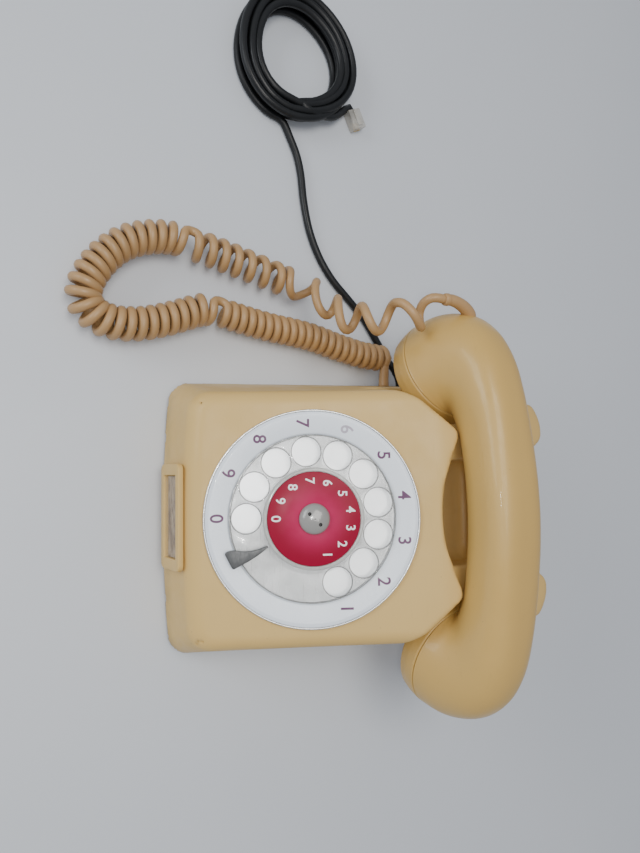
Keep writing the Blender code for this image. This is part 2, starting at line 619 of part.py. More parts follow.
# Radius and height, from the joint between a cup and its cap.
CAP_OUTLINE = [(0, -11.4), (18.0, -12.2), (24.0, -13.8), (27.6, -13.2), (29.2, -11.2), (CUP_RADIUS, -GAP),
               (25.0, -GAP), (25.0, -4.6), (19.0, -4.6), (19.0, -8.2), (0, -8.0)]
CAPSULE_OUTLINE = [(0, -4.2), (21.0, -4.2), (22.0, -3.2), (22.0, 5.5), (17.0, 8.6), (0, 8.6)]


def handset_ring(x, y, z, angle, half_high, half_wide, side):
    """One cross-section of the handset, nearly round, square to the spine."""
    a = math.radians(angle)
    across = Vector((side * math.sin(a), 0, math.cos(a)))
    ring = []
    for i in range(HANDSET_SIDES):
        t = math.tau * i / HANDSET_SIDES
        c, s = math.cos(t), math.sin(t)
        power = 2 / HANDSET_SQUARENESS
        up = math.copysign(abs(c) ** power, c) * half_high
        out = math.copysign(abs(s) ** power, s) * half_wide
        ring.append(Vector((side * x, y, z)) + across * up + Vector((0, out, 0)))
    return ring


def handle_rings(first, grow=0.0):
    """Cross-sections of the handset from station first on the right, over the middle, to the same station on the
    left, each grown by grow millimetres."""
    rings = []
    for side, stations in ((1, HANDSET_STATIONS[first:]), (-1, reversed(HANDSET_STATIONS[first:-1]))):
        for x, y, z, angle, half_high, half_wide in stations:
            rings.append(handset_ring(x, y, z, angle, half_high + grow, half_wide + grow, side))
    return rings


def cup_frame(side):
    """Empty at the joint between a cup and its cap, with its Z up along the cup."""
    word = "ear" if side > 0 else "mouth"
    x, y, z = CUP_JOINT
    return empty(f"{word}_cup_axis", (side * x, y, z), (0, side * math.radians(CUP_TILT), 0))


def build_handset():
    handle = loft("handset_handle", handle_rings(0), "handset_plastic", 50.0)
    for side, cap_name, capsule_name in ((1, "ear_cap", "receiver_capsule"),
                                         (-1, "mouth_cap", "transmitter_capsule")):
        cup = cup_frame(side)
        pocket = cylinder(f"cut_{cap_name}_pocket", 22.4, -2, 9.4, None, 24)
        pocket.parent = cup
        boolean(handle, pocket)
        cap = turned(cap_name, CAP_OUTLINE, "handset_plastic", 28)
        cap.parent = cup
        for i in range(7):
            a = math.tau * i / 6
            reach = 0 if i == 6 else 9.0
            sound_hole = cylinder(f"cut_{cap_name}_hole_{i}", 1.5, -17, -2, None, 6)
            boolean(cap, placed(sound_hole, (reach * math.cos(a), reach * math.sin(a), 0), (0, 0, 0), cup))
        capsule = turned(capsule_name, CAPSULE_OUTLINE, "zinc_plate", 20)
        capsule.parent = cup


# --- hook switch, bell and speech circuit --------------------------------------------------------------------
def build_hook():
    """The handset's weight holds two plungers down; they tip a lever that works the contacts."""
    for side, word in ((-1, "left"), (1, "right")):
        profile = [(0, 53.0), (2.8, 53.0), (2.8, PLUNGER_TOP - 1.2), (1.8, PLUNGER_TOP - 0.3),
                   (0, PLUNGER_TOP)]
        placed(turned(f"plunger_{word}", profile, "grey_plastic", 14), (side * PLUNGER_X, PLUNGER_Y, 0))
    x, y, z = LEVER_PIVOT
    bar = [(-37, 18), (37, 18), (37, 24), (8, 24), (8, 20.5), (-8, 20.5), (-8, 24), (-37, 24)]
    lever = placed(extruded("hook_lever", bar, 3.5, 5.7, "steel"), LEVER_PIVOT)
    arm = box("cut_lever_arm", (-8, -3, 1.8), (8, 20.0, 5.7), None)
    boolean(lever, placed(arm, LEVER_PIVOT), "UNION")
    bracket = box("hook_bracket", (x - 16, y - 7, 35.0), (x + 16, y + 7, 37.0), "zinc_plate")
    for side in (-1, 1):
        low, high = sorted((side * 12.5, side * 16.0))
        ear = box(f"cut_bracket_ear_{side}", (low, y - 5, 36.0), (high, y + 5, z + 4), None)
        boolean(bracket, ear, "UNION")
    pin = cylinder("hook_pivot_pin", 1.2, -12.0, 12.0, "steel", 12)
    placed(pin, LEVER_PIVOT, (0, math.radians(90), 0))
    box("hook_contacts", (-6, y - 4, 37.5), (6, y + 5, z - 1.8), "black_plastic", 0.6)


def build_bell():
    for side, word in ((-1, "left"), (1, "right")):
        profile = [(2.2, 23.0), (9.0, 22.6), (16.5, 20.4), (20.5, 16.0), (22.0, 9.0), (20.8, 9.0),
                   (19.2, 15.3), (15.0, 19.0), (2.2, 21.6)]
        placed(turned(f"gong_{word}", profile, "zinc_plate", 22), (side * GONG_X, GONG_Y, 0))
        post = [(0, 4.0), (4.5, 4.0), (4.5, 5.5), (3.4, 5.5), (3.4, 21.2), (1.8, 21.2), (1.8, 25.0),
                (0, 25.0)]
        placed(turned(f"gong_post_{word}", post, "steel", 10), (side * GONG_X, GONG_Y, 0))
    frame = box("ringer_frame", (-11, 24, 4.0), (11, 40, 6.2), "steel")
    yoke = box("cut_ringer_yoke", (-11.5, 23.5, 5.0), (11.5, 26.4, 27.0), None)
    boolean(frame, yoke, "UNION")
    placed(cylinder("ringer_coil", 7.2, 0.0, 12.6, "copper_winding", 18), (0, 26.8, 15.0),
           (math.radians(-90), 0, 0))
    clapper = placed(box("clapper", (-1.0, 0.0, -0.7), (1.0, 29.0, 0.7), "steel"), CLAPPER_PIVOT)
    ball = turned("cut_clapper_ball", [(0, -3), (2.2, -2.2), (3.0, 0), (2.2, 2.2), (0, 3)], None, 12)
    boolean(clapper, placed(ball, (0, 29.0, 0), parent=clapper), "UNION")


def build_circuit():
    board = extruded("circuit_board", rounded_rectangle(36, 23, 2.0, 2), 9.0, 10.6, "board")
    placed(board, (0, -42, 0))
    box("induction_coil", (-30, -60, 10.9), (-8, -42, 25.0), "copper_winding", 1.0)
    placed(cylinder("capacitor", 6.0, -12, 12, "grey_plastic", 16), (16, -52, 17.2),
           (0, math.radians(90), 0))
    box("terminal_block", (-16, -34, 10.9), (16, -24, 18.0), "black_plastic", 0.8)
    for side, word in ((-1, "left"), (1, "right")):
        placed(cylinder(f"board_spacer_{word}", 2.6, 4.0, 8.7, "brass", 12), (side * 30, -42, 0))


# --- cords ---------------------------------------------------------------------------------------------------
def build_cords():
    tube("body_boot", [(-74.0, 44.6, 11.0), (-80.0, 44.6, 11.2), (-86.6, 44.6, 12.0)], 3.1, 4.0,
         "cord_beige", 2,
         0.85)
    tube("handset_cord", CURLY_ROUTE, CURLY_RADIUS, 11.0, "cord_beige", 2)
    tube("handset_boot", HANDSET_BOOT_ROUTE, 3.3, 4.0, "cord_beige", 2, 0.85)
    tube("line_gland", [(-74.0, 59.6, 9.0), (-79.0, 59.55, 8.9), (-84.2, 59.2, 8.4)], 3.1, 4.0,
         "cord_black", 2, 0.9)
    tube("line_cord", LINE_ROUTE, LINE_RADIUS, 9.0, "cord_black", 2)
    inner, outer = COIL_MEAN_RADIUS - COIL_WIDTH / 2, COIL_MEAN_RADIUS + COIL_WIDTH / 2
    low, high = 0.1, 0.1 + COIL_HEIGHT
    round_off = 4.0
    middle = (low + high) / 2
    coil = turned("line_cord_coil", [(inner, middle), (inner + round_off, low), (outer - round_off, low),
                                     (outer, middle), (outer - round_off, high), (inner + round_off, high)],
                  "cord_black", 32)
    placed(coil, (*COIL_CENTRE, 0))
    length, width, height = PLUG_SIZE
    plug = box("modular_plug", (-length / 2, -width / 2, 0.1), (length / 2, width / 2, 0.1 + height),
               "clear_plastic", 0.4)
    placed(plug, (*PLUG_CENTRE, 0), (0, 0, PLUG_TURN))


def main():
    clear_scene()
    build_housing()
    build_base()
    build_label()
    build_dial()
    build_handset()
    build_hook()
    build_bell()
    build_circuit()
    build_cords()


main()
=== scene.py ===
"""Looks of the rotary desk phone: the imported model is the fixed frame, and the pieces made here stand on it.

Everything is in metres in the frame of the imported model: +X is the user's right, +Y is away from the user and
+Z is up, with the table at z = 0. Lengths written in millimetres are multiplied by MM.
"""
import json
import random
from math import atan2, cos, pi, radians, sin, tan, tau

import bmesh
import bpy
import numpy as np
from mathutils import Matrix, Vector


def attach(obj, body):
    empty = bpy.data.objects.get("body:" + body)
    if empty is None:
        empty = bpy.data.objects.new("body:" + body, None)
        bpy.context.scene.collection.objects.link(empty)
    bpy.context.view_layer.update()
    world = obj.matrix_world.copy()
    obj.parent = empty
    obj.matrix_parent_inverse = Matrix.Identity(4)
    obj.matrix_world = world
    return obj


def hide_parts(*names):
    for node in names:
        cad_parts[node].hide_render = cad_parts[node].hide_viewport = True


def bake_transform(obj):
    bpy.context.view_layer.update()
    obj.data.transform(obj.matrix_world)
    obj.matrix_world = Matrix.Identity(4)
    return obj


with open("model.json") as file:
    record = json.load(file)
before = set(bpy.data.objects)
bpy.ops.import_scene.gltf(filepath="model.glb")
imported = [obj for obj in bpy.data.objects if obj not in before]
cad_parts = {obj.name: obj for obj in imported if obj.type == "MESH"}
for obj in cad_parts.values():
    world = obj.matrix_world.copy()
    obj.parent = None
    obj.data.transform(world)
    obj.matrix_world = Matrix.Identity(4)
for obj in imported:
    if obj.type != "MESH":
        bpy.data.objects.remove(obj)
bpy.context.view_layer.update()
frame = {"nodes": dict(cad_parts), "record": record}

MM = 0.001
random.seed(7)

# --- places taken from the record ---
JOINTS = {joint["name"]: joint for joint in frame["record"]["behaviour"]["joints"]}
DIAL_CENTRE = Vector(JOINTS["dial_spin"]["pos_m"])
DIAL_NORMAL = -Vector(JOINTS["dial_spin"]["axis"]).normalized()
DIAL_UP = DIAL_NORMAL.cross(Vector((1, 0, 0))).normalized()
DIAL = (Matrix.Translation(DIAL_CENTRE)
        @ Matrix((Vector((1, 0, 0)), DIAL_UP, DIAL_NORMAL)).transposed().to_4x4())


# --- camera ---
CAMERA_PLACE = (-0.02416, -0.20467, 0.335)
CAMERA_TURN = (4.351, -31.734, 88.956)  # degrees about X, Y and Z
FOCAL_LENGTH = 27.01
SENSOR_LENGTH = 36.0


def shown(name, data):
    """A new object with this data, in the scene."""
    obj = bpy.data.objects.new(name, data)
    bpy.context.collection.objects.link(obj)
    return obj


def make_camera():
    lens = bpy.data.cameras.new("camera")
    lens.lens = FOCAL_LENGTH
    lens.sensor_width = SENSOR_LENGTH
    lens.sensor_fit = "AUTO"
    lens.clip_start = 0.01
    lens.clip_end = 10.0
    camera = shown("camera", lens)
    camera.location = CAMERA_PLACE
    camera.rotation_euler = [radians(angle) for angle in CAMERA_TURN]
    bpy.context.scene.camera = camera


# --- materials ---
MADE = {}  # every material by its name


def fill(node, **values):
    """Sets inputs of a node by name, with _ for each space in the name."""
    for key, value in values.items():
        node.inputs[key.replace("_", " ")].default_value = value


class Graph:
    """A material's node tree, with short calls for the nodes used here."""

    def __init__(self, name):
        material = bpy.data.materials.new(name)
        material.use_nodes = True
        self.tree = material.node_tree
        self.shader = self.tree.nodes["Principled BSDF"]
        self.place = self.node("ShaderNodeTexCoord").outputs["Object"]
        MADE[name] = material

    def node(self, kind, **values):
        made = self.tree.nodes.new(kind)
        for key, value in values.items():
            setattr(made, key, value)
        return made

    def link(self, source, target):
        self.tree.links.new(source, target)

    def noise(self, scale, detail=4.0, roughness=0.55, stretch=None, distortion=0.0):
        made = self.node("ShaderNodeTexNoise")
        fill(made, Scale=scale, Detail=detail, Roughness=roughness, Distortion=distortion)
        place = self.place
        if stretch:
            mapping = self.node("ShaderNodeMapping")
            fill(mapping, Scale=stretch)
            self.link(place, mapping.inputs["Vector"])
            place = mapping.outputs["Vector"]
        self.link(place, made.inputs["Vector"])
        return made.outputs["Fac"]

    def spots(self, scale, size):
        """1 on small spots scattered by a Voronoi pattern, 0 elsewhere."""
        made = self.node("ShaderNodeTexVoronoi")
        fill(made, Scale=scale)
        self.link(self.place, made.inputs["Vector"])
        return self.ramp(made.outputs["Distance"], size * 0.6, size, 1.0, 0.0)

    def ramp(self, value, low, high, out_low=0.0, out_high=1.0):
        made = self.node("ShaderNodeMapRange", interpolation_type="SMOOTHSTEP")
        fill(made, From_Min=low, From_Max=high, To_Min=out_low, To_Max=out_high)
        self.link(value, made.inputs["Value"])
        return made.outputs["Result"]

    def maths(self, operation, first, second):
        made = self.node("ShaderNodeMath", operation=operation)
        for socket, value in zip(made.inputs, (first, second)):
            if isinstance(value, (int, float)):
                socket.default_value = value
            else:
                self.link(value, socket)
        return made.outputs["Value"]

    def mix(self, factor, first, second):
        made = self.node("ShaderNodeMix", data_type="RGBA")
        self.link(factor, made.inputs["Factor"])
        for socket, value in ((made.inputs["A"], first), (made.inputs["B"], second)):
            if isinstance(value, tuple):
                socket.default_value = (*value, 1.0)
            else:
                self.link(value, socket)
        return made.outputs["Result"]

    def height(self):
        made = self.node("ShaderNodeSeparateXYZ")
        self.link(self.place, made.inputs["Vector"])
        return made.outputs["Z"]

    def distance(self, place):
        made = self.node("ShaderNodeVectorMath", operation="DISTANCE")
        self.link(self.place, made.inputs[0])
        made.inputs[1].default_value = tuple(place)
        return made.outputs["Value"]

    def surface(self, tone, rough, height, strength, depth, **values):
        """Gives the shader its colour, its roughness, its relief and plain numbers for other inputs."""
        self.link(tone, self.shader.inputs["Base Color"])
        self.link(rough, self.shader.inputs["Roughness"])
        made = self.node("ShaderNodeBump")
        fill(made, Strength=strength, Distance=depth)
        self.link(height, made.inputs["Height"])
        self.link(made.outputs["Normal"], self.shader.inputs["Normal"])
        fill(self.shader, **values)


def shade(colour, factor):
    return tuple(min(1.0, channel * factor) for channel in colour)


def plastic(name, colour, roughness=0.35, variation=0.10, blotch=28.0, specks=0.0, dirt_and_shade=(0.16, 0.11, 0.05),
            grain=900.0, relief=0.06, scratches=0.0, low_shade=0.0, **values):
    """Moulded plastic: blotchy colour, scattered dark specks, fine scratches and painted shade in patches near
    the table.
    """
    graph = Graph(name)
    darker, lighter = shade(colour, 1 - variation), shade(colour, 1 + variation)
    tone = graph.mix(graph.noise(blotch, 5.0, 0.6), darker, lighter)
    if specks:
        few = graph.ramp(graph.noise(9.0, 2.0), 0.50, 0.62)
        mask = graph.maths("MULTIPLY", graph.spots(150.0, specks), few)
        tone = graph.mix(graph.maths("MULTIPLY", mask, 0.8), tone, dirt_and_shade)
    # Painted shade: darker in patches near the table, where the housing meets it. The same dark colour also
    # serves the real specks.
    if low_shade:
        near = graph.ramp(graph.height(), 0.002, 0.016, 1.0, 0.0)
        shade_patches = graph.maths("MULTIPLY", near, graph.ramp(graph.noise(60.0, 4.0), 0.35, 0.7))
        tone = graph.mix(graph.maths("MULTIPLY", shade_patches, low_shade), tone, dirt_and_shade)
    rough = graph.ramp(graph.noise(45.0, 6.0, 0.65), 0.3, 0.7, roughness * 0.8, min(1.0, roughness * 1.3))
    height = graph.noise(grain, 3.0)
    if scratches:
        lines = graph.ramp(graph.noise(70.0, 2.0, 0.5, (1.0, 22.0, 6.0), 0.4), 0.66, 0.70)
        tone = graph.mix(graph.maths("MULTIPLY", lines, scratches), tone, shade(colour, 0.62))
        height = graph.maths("SUBTRACT", height, lines)
    graph.surface(tone, rough, height, relief, 0.0004, **values)


def metal(name, colour, roughness=0.3, brush=(1.0, 1.0, 1.0), tarnish=0.25):
    """Metal with brushed streaks and patches of tarnish."""
    graph = Graph(name)
    patches = graph.ramp(graph.noise(40.0, 5.0, 0.6), 0.40, 0.75)
    tone = graph.mix(graph.maths("MULTIPLY", patches, tarnish), colour, shade(colour, 0.45))
    streaks = graph.noise(500.0, 3.0, 0.5, brush)
    rough = graph.ramp(streaks, 0.3, 0.7, roughness * 0.75, roughness * 1.35)
    graph.surface(tone, rough, streaks, 0.08, 0.0002, Metallic=1.0)


def clear(name, colour, alpha, roughness=0.1, mottle=0.0):
    """Clear acrylic with a faint haze: the haze carries the opacity, so what lies under it shows."""
    graph = Graph(name)
    haze = graph.noise(120.0, 5.0, 0.6)
    lines = graph.ramp(graph.noise(90.0, 2.0, 0.5, (1.0, 14.0, 5.0), 0.5), 0.64, 0.70)
    veil = graph.ramp(haze, 0.25, 0.75, alpha * 0.7, min(1.0, alpha * 1.3))
    graph.link(graph.maths("ADD", veil, graph.maths("MULTIPLY", lines, 0.12)), graph.shader.inputs["Alpha"])
    tone = graph.mix(haze, shade(colour, 0.92), colour)
    if mottle:
        soil = graph.ramp(graph.noise(55.0, 5.0, 0.65, distortion=0.6), 0.42, 0.66)
        tone = graph.mix(graph.maths("MULTIPLY", soil, mottle), tone, shade(colour, 0.5))
    rough = graph.ramp(haze, 0.3, 0.7, roughness * 0.7, roughness * 1.5)
    graph.surface(tone, rough, graph.noise(700.0, 2.0), 0.04, 0.0003, IOR=1.49, Coat_Weight=0.3)


HOUSING_COLOUR = (0.66, 0.445, 0.155)
HANDSET_COLOUR = (0.58, 0.37, 0.105)
CORD_COLOUR = (0.44, 0.265, 0.115)
CRIMSON = (0.29, 0.0, 0.027)
SHEEN_CRIMSON = (0.46, 0.0, 0.075)


def make_materials():
    # Plastics: name, colour, roughness, share by which the colour varies, and fineness of its blotches.
    # The housing is darker in patches near the table: painted shade.
    plastic("housing", HOUSING_COLOUR, 0.46, 0.06, 16.0, specks=0.05, low_shade=0.45, scratches=0.08,
            Coat_Weight=0.05, Coat_Roughness=0.2, Specular_IOR_Level=0.4)
    plastic("handset", HANDSET_COLOUR, 0.38, 0.06, 18.0, specks=0.05, scratches=0.10, Coat_Weight=0.16,
            Coat_Roughness=0.07)
    plastic("cord_beige", CORD_COLOUR, 0.42, 0.14, 55.0, specks=0.08, dirt_and_shade=(0.10, 0.06, 0.03), grain=1500.0,
            relief=0.12, Coat_Weight=0.1, Coat_Roughness=0.3)
    plastic("cord_black", (0.010, 0.011, 0.012), 0.36, 0.3, 60.0, grain=1200.0, relief=0.05,
            Specular_IOR_Level=0.35)
    plastic("number_ring", (0.86, 0.92, 0.99), 0.30, 0.03, 22.0, specks=0.04, dirt_and_shade=(0.25, 0.22, 0.18),
            scratches=0.08, Coat_Weight=0.2)
    plastic("ring_digits", (0.13, 0.045, 0.115), 0.5, 0.25, 300.0)
    plastic("worn_digit", (0.47, 0.43, 0.50), 0.5, 0.25, 300.0)
    plastic("disc_digits", (0.95, 0.94, 0.93), 0.4, 0.03, 200.0)
    plastic("grey_hub", (0.29, 0.285, 0.27), 0.2, 0.10, 90.0, specks=0.05, grain=700.0, relief=0.03,
            Coat_Weight=0.6, Coat_Roughness=0.07)
    plastic("black_plastic", (0.018, 0.018, 0.02), 0.45, 0.3, 60.0)
    plastic("rubber", (0.035, 0.033, 0.03), 0.85, 0.35, 90.0, grain=500.0, relief=0.3)
    plastic("board", (0.20, 0.12, 0.045), 0.55, 0.2, 45.0)
    # Metals: name, colour, roughness, and which way they are brushed.
    metal("bright_steel", (0.66, 0.67, 0.68), 0.2)
    metal("stop_steel", (0.125, 0.128, 0.13), 0.52, (1.0, 16.0, 1.0), 0.3)
    metal("bezel_steel", (0.72, 0.72, 0.71), 0.3)
    metal("zinc_plate", (0.58, 0.58, 0.55), 0.42, (1.0, 8.0, 1.0), 0.3)
    metal("brass", (0.68, 0.48, 0.19), 0.3, tarnish=0.45)
    metal("gong_metal", (0.60, 0.58, 0.54), 0.28, tarnish=0.35)
    metal("winding", (0.50, 0.19, 0.07), 0.35, (1.0, 1.0, 30.0))
    metal("contacts", (0.80, 0.56, 0.20), 0.25, tarnish=0.1)
    # Clear plastics: name, colour and opacity.
    clear("clear_plastic", (0.72, 0.72, 0.69), 0.24, mottle=0.45)
    clear("label_film", (0.60, 0.55, 0.47), 0.10)
    # Painted shade: darker, denser clear finishes for the wheel's edge walls and the rings round its holes, as
    # edges of clear plastic look dark.
    clear("clear_edge_shade", (0.27, 0.275, 0.27), 0.72, 0.16)
    clear("hole_rim_shade", (0.20, 0.205, 0.20), 0.62, 0.16)
    clear("clear_rim", (0.62, 0.62, 0.58), 0.7, 0.14)
    clear("plug_clear", (0.66, 0.64, 0.58), 0.55, 0.14)
    red_disc()
    label_card()
    dial_plate()


def red_disc():
    """Crimson disc, paler towards the hub: painted sheen."""
    graph = Graph("red_disc")
    # Painted sheen: the colour turns paler towards the hub.
    reach = graph.ramp(graph.distance(DIAL_CENTRE + DIAL_NORMAL * 5 * MM), 0.007, 0.020)
    tone = graph.mix(reach, SHEEN_CRIMSON, CRIMSON)
    mottle = graph.noise(90.0, 5.0)
    tone = graph.mix(graph.ramp(mottle, 0.45, 0.8, 0.0, 0.25), tone, (0.26, 0.0, 0.02))
    graph.surface(tone, graph.ramp(mottle, 0.3, 0.7, 0.36, 0.50), graph.noise(800.0, 2.0), 0.05, 0.0003,
                  Specular_IOR_Level=0.15, Coat_Weight=0.06, Coat_Roughness=0.2)


def dial_plate():
    """Bright plate under the finger holes, finely turned in rings round the middle of the dial."""
    graph = Graph("dial_plate")
    waves = graph.maths("SINE", graph.maths("MULTIPLY", graph.distance(DIAL_CENTRE), 11000.0), 0.0)
    tone = graph.mix(graph.noise(35.0, 3.0), (0.74, 0.77, 0.79), (0.84, 0.86, 0.87))
    graph.surface(tone, graph.ramp(waves, -1.0, 1.0, 0.30, 0.42), waves, 0.05, 0.0002, Metallic=0.6)


def label_card():
    """Aged paper card with brown stains."""
    graph = Graph("label_card")
    stain = graph.ramp(graph.noise(95.0, 6.0, 0.7, (1.0, 1.0, 2.2)), 0.42, 0.62)
    tone = graph.mix(stain, (0.48, 0.375, 0.26), (0.22, 0.15, 0.10))
    streak = graph.ramp(graph.noise(220.0, 3.0, 0.6, (0.35, 1.0, 2.5)), 0.56, 0.62)
    tone = graph.mix(graph.maths("MULTIPLY", streak, 0.5), tone, (0.08, 0.055, 0.04))
    graph.surface(tone, graph.ramp(stain, 0.0, 1.0, 0.85, 0.65), graph.noise(1500.0, 4.0), 0.2, 0.0003)


# --- mesh helpers ---
def mesh_piece(name, points, faces, finish, matrix=None, sharp=None):
    """A mesh object from points in millimetres, smooth-shaded, with faces turned outwards."""
    mesh = bpy.data.meshes.new(name)
    mesh.from_pydata([(x * MM, y * MM, z * MM) for x, y, z in points], [], faces)
    if matrix is not None:
        mesh.transform(matrix)
    work = bmesh.new()
    work.from_mesh(mesh)
    bmesh.ops.recalc_face_normals(work, faces=work.faces)
    work.to_mesh(mesh)
    work.free()
    mesh.shade_smooth()
    if sharp:
        mesh.set_sharp_from_angle(angle=radians(sharp))
    mesh.materials.append(MADE[finish])
    return shown(name, mesh)


def skin(rings, closed_ends=True, closed_round=False):
    """Points and faces over rings with equal counts; closed_round joins the last ring to the first."""
    count = len(rings[0])
    points = [tuple(p) for ring in rings for p in ring]
    faces = []
    levels = len(rings) if closed_round else len(rings) - 1
    for level in range(levels):
        low = level * count
        high = (level + 1) % len(rings) * count
        for i in range(count):
            j = (i + 1) % count
            faces.append((low + i, low + j, high + j, high + i))
    if closed_ends and not closed_round:
        faces.append(tuple(range(count)))
        faces.append(tuple(range((len(rings) - 1) * count, len(rings) * count)))
    return points, faces


def rounded(profile, radius, steps=3):
    """The outline with each inner corner replaced by a short curve that starts at most radius from it."""
    result = [profile[0]]
    for before, corner, after in zip(profile, profile[1:], profile[2:]):
        corner_v = Vector(corner)
        arms = []
        for other in (before, after):
            arm = Vector(other) - corner_v
            arms.append(corner_v + arm * min(0.45, radius / max(arm.length, 1e-6)))
        for i in range(steps + 1):
            t = i / steps
            result.append(tuple((1 - t) ** 2 * arms[0] + 2 * t * (1 - t) * corner_v + t**2 * arms[1]))
    result.append(profile[-1])
    return result


def turned(name, profile, finish, matrix, sides=96, round_off=0.3, sharp=None):
    """A turned piece from (radius, height) pairs: solid if they start and end at radius 0, else a ring."""
    solid = profile[0][0] == 0 and profile[-1][0] == 0
    if solid:
        outline = rounded(profile, round_off)
    else:
        closed = [profile[-1]] + list(profile) + [profile[0]]
        outline = rounded(closed, round_off)[1:-1]
    turn = [tau * i / sides for i in range(sides)]
    body = outline[1:-1] if solid else outline
    rings = [[(r * cos(a), r * sin(a), h) for a in turn] for r, h in body]
    points, faces = skin(rings, closed_ends=False, closed_round=not solid)
    if solid:
        for tip, ring in ((outline[0], 0), (outline[-1], len(rings) - 1)):
            points.append((0, 0, tip[1]))
            centre = len(points) - 1
            faces += [(ring * sides + i, ring * sides + (i + 1) % sides, centre) for i in range(sides)]
    return mesh_piece(name, points, faces, finish, matrix, sharp)


def polar(radius, angle):
    return radius * cos(angle), radius * sin(angle)


def moved(place):
    """A shift in millimetres within the plane of a turned piece."""
    return Matrix.Translation(Vector((*place, 0)) * MM)


def drill(radius, low, high, matrix, sides):
    """A rod to cut a hole with; the hole's walls take its black finish, painted shade inside the hole."""
    profile = [(0, low), (radius, low), (radius, high), (0, high)]
    return turned("cutter", profile, "black_plastic", matrix, sides, 0.1)


def cut(target, tools):
    """Takes the tools out of the target for good."""
    for tool in tools:
        step = target.modifiers.new("cut", "BOOLEAN")
        step.operation = "DIFFERENCE"
        step.solver = "EXACT"
        # The cut walls take the tool's finish: the drill's black paints shade into the holes.
        step.material_mode = "TRANSFER"
        step.object = tool
    settle(target)
    for tool in tools:
        bpy.data.objects.remove(tool, do_unlink=True)


def evaluated_mesh(obj):
    """The mesh that the object's curve or modifiers give."""
    bpy.context.view_layer.update()
    return bpy.data.meshes.new_from_object(obj.evaluated_get(bpy.context.evaluated_depsgraph_get()))


def settle(obj):
    """Writes the modifiers' result into the mesh."""
    mesh = evaluated_mesh(obj)
    obj.modifiers.clear()
    obj.data = mesh


def join(name, objects):
    """One mesh object from several, with each one's own materials."""
    work = bmesh.new()
    slots = []
    for obj in objects:
        mesh = obj.data.copy()
        mesh.transform(obj.matrix_world)
        for slot in mesh.materials:
            if slot not in slots:
                slots.append(slot)
        index = [slots.index(slot) for slot in mesh.materials] or [0]
        first = len(work.faces)
        work.from_mesh(mesh)
        work.faces.ensure_lookup_table()
        for face in work.faces[first:]:
            face.material_index = index[min(face.material_index, len(index) - 1)]
    mesh = bpy.data.meshes.new(name)
    work.to_mesh(mesh)
    work.free()
    for slot in slots:
        mesh.materials.append(slot)
    for obj in objects:
        bpy.data.objects.remove(obj, do_unlink=True)
    return shown(name, mesh)


def through(rows, steps):
    """Rows on a smooth curve through the given rows: so many from each one up to the next (numpy)."""
    knots = np.array(rows, float)
    knots = np.vstack([2 * knots[0] - knots[1], knots, 2 * knots[-1] - knots[-2]])
    t = np.linspace(0, 1, steps, endpoint=False)[:, None]
    return np.vstack([
        0.5 * (2 * b + (c - a) * t + (2 * a - 5 * b + 4 * c - d) * t**2 + (3 * b - 3 * c + d - a) * t**3)
        for a, b, c, d in zip(knots, knots[1:], knots[2:], knots[3:])])


def smooth_line(route, count):
    """Points evenly spaced in length on a smooth curve through the route, and its length (millimetres)."""
    fine = np.vstack([through(route, 24), [route[-1]]])
    walked = walked_along(fine)
    want = np.linspace(0, walked[-1], count)
    return np.stack([np.interp(want, walked, fine[:, i]) for i in range(3)], 1), walked[-1]


def walked_along(line):
    """The length of the line up to each of its points."""
    return np.concatenate([[0], np.cumsum(np.linalg.norm(np.diff(line, axis=0), axis=1))])


def carried_frames(line, lean=None, share=0.0):
    """Two directions square to the line at each point, carried along it without twist, the first upwards at
    the start. They can lean towards being square to another direction, by a share at each point."""
    tangents = np.gradient(line, axis=0)
    tangents /= np.linalg.norm(tangents, axis=1)[:, None]
    if lean is not None:
        tangents = tangents + (np.array(lean) - tangents) * share[:, None]
        tangents /= np.linalg.norm(tangents, axis=1)[:, None]
    first = np.array((0.0, 0.0, 1.0))
    sides = []
    for tangent in tangents:
        first = first - tangent * first.dot(tangent)
        first /= np.linalg.norm(first)
        sides.append(first.copy())
    sides = np.array(sides)
    return sides, np.cross(tangents, sides)


def tube_mesh(name, line, radii, finish, sides):
    """A round tube along a line in millimetres, with a radius at each point."""
    first, second = carried_frames(line)
    turn = np.linspace(0, tau, sides, endpoint=False)
    around = np.cos(turn)[None, :, None] * first[:, None] + np.sin(turn)[None, :, None] * second[:, None]
    rings = line[:, None] + around * np.asarray(radii)[:, None, None]
    points, faces = skin(rings.tolist())
    return mesh_piece(name, points, faces, finish)


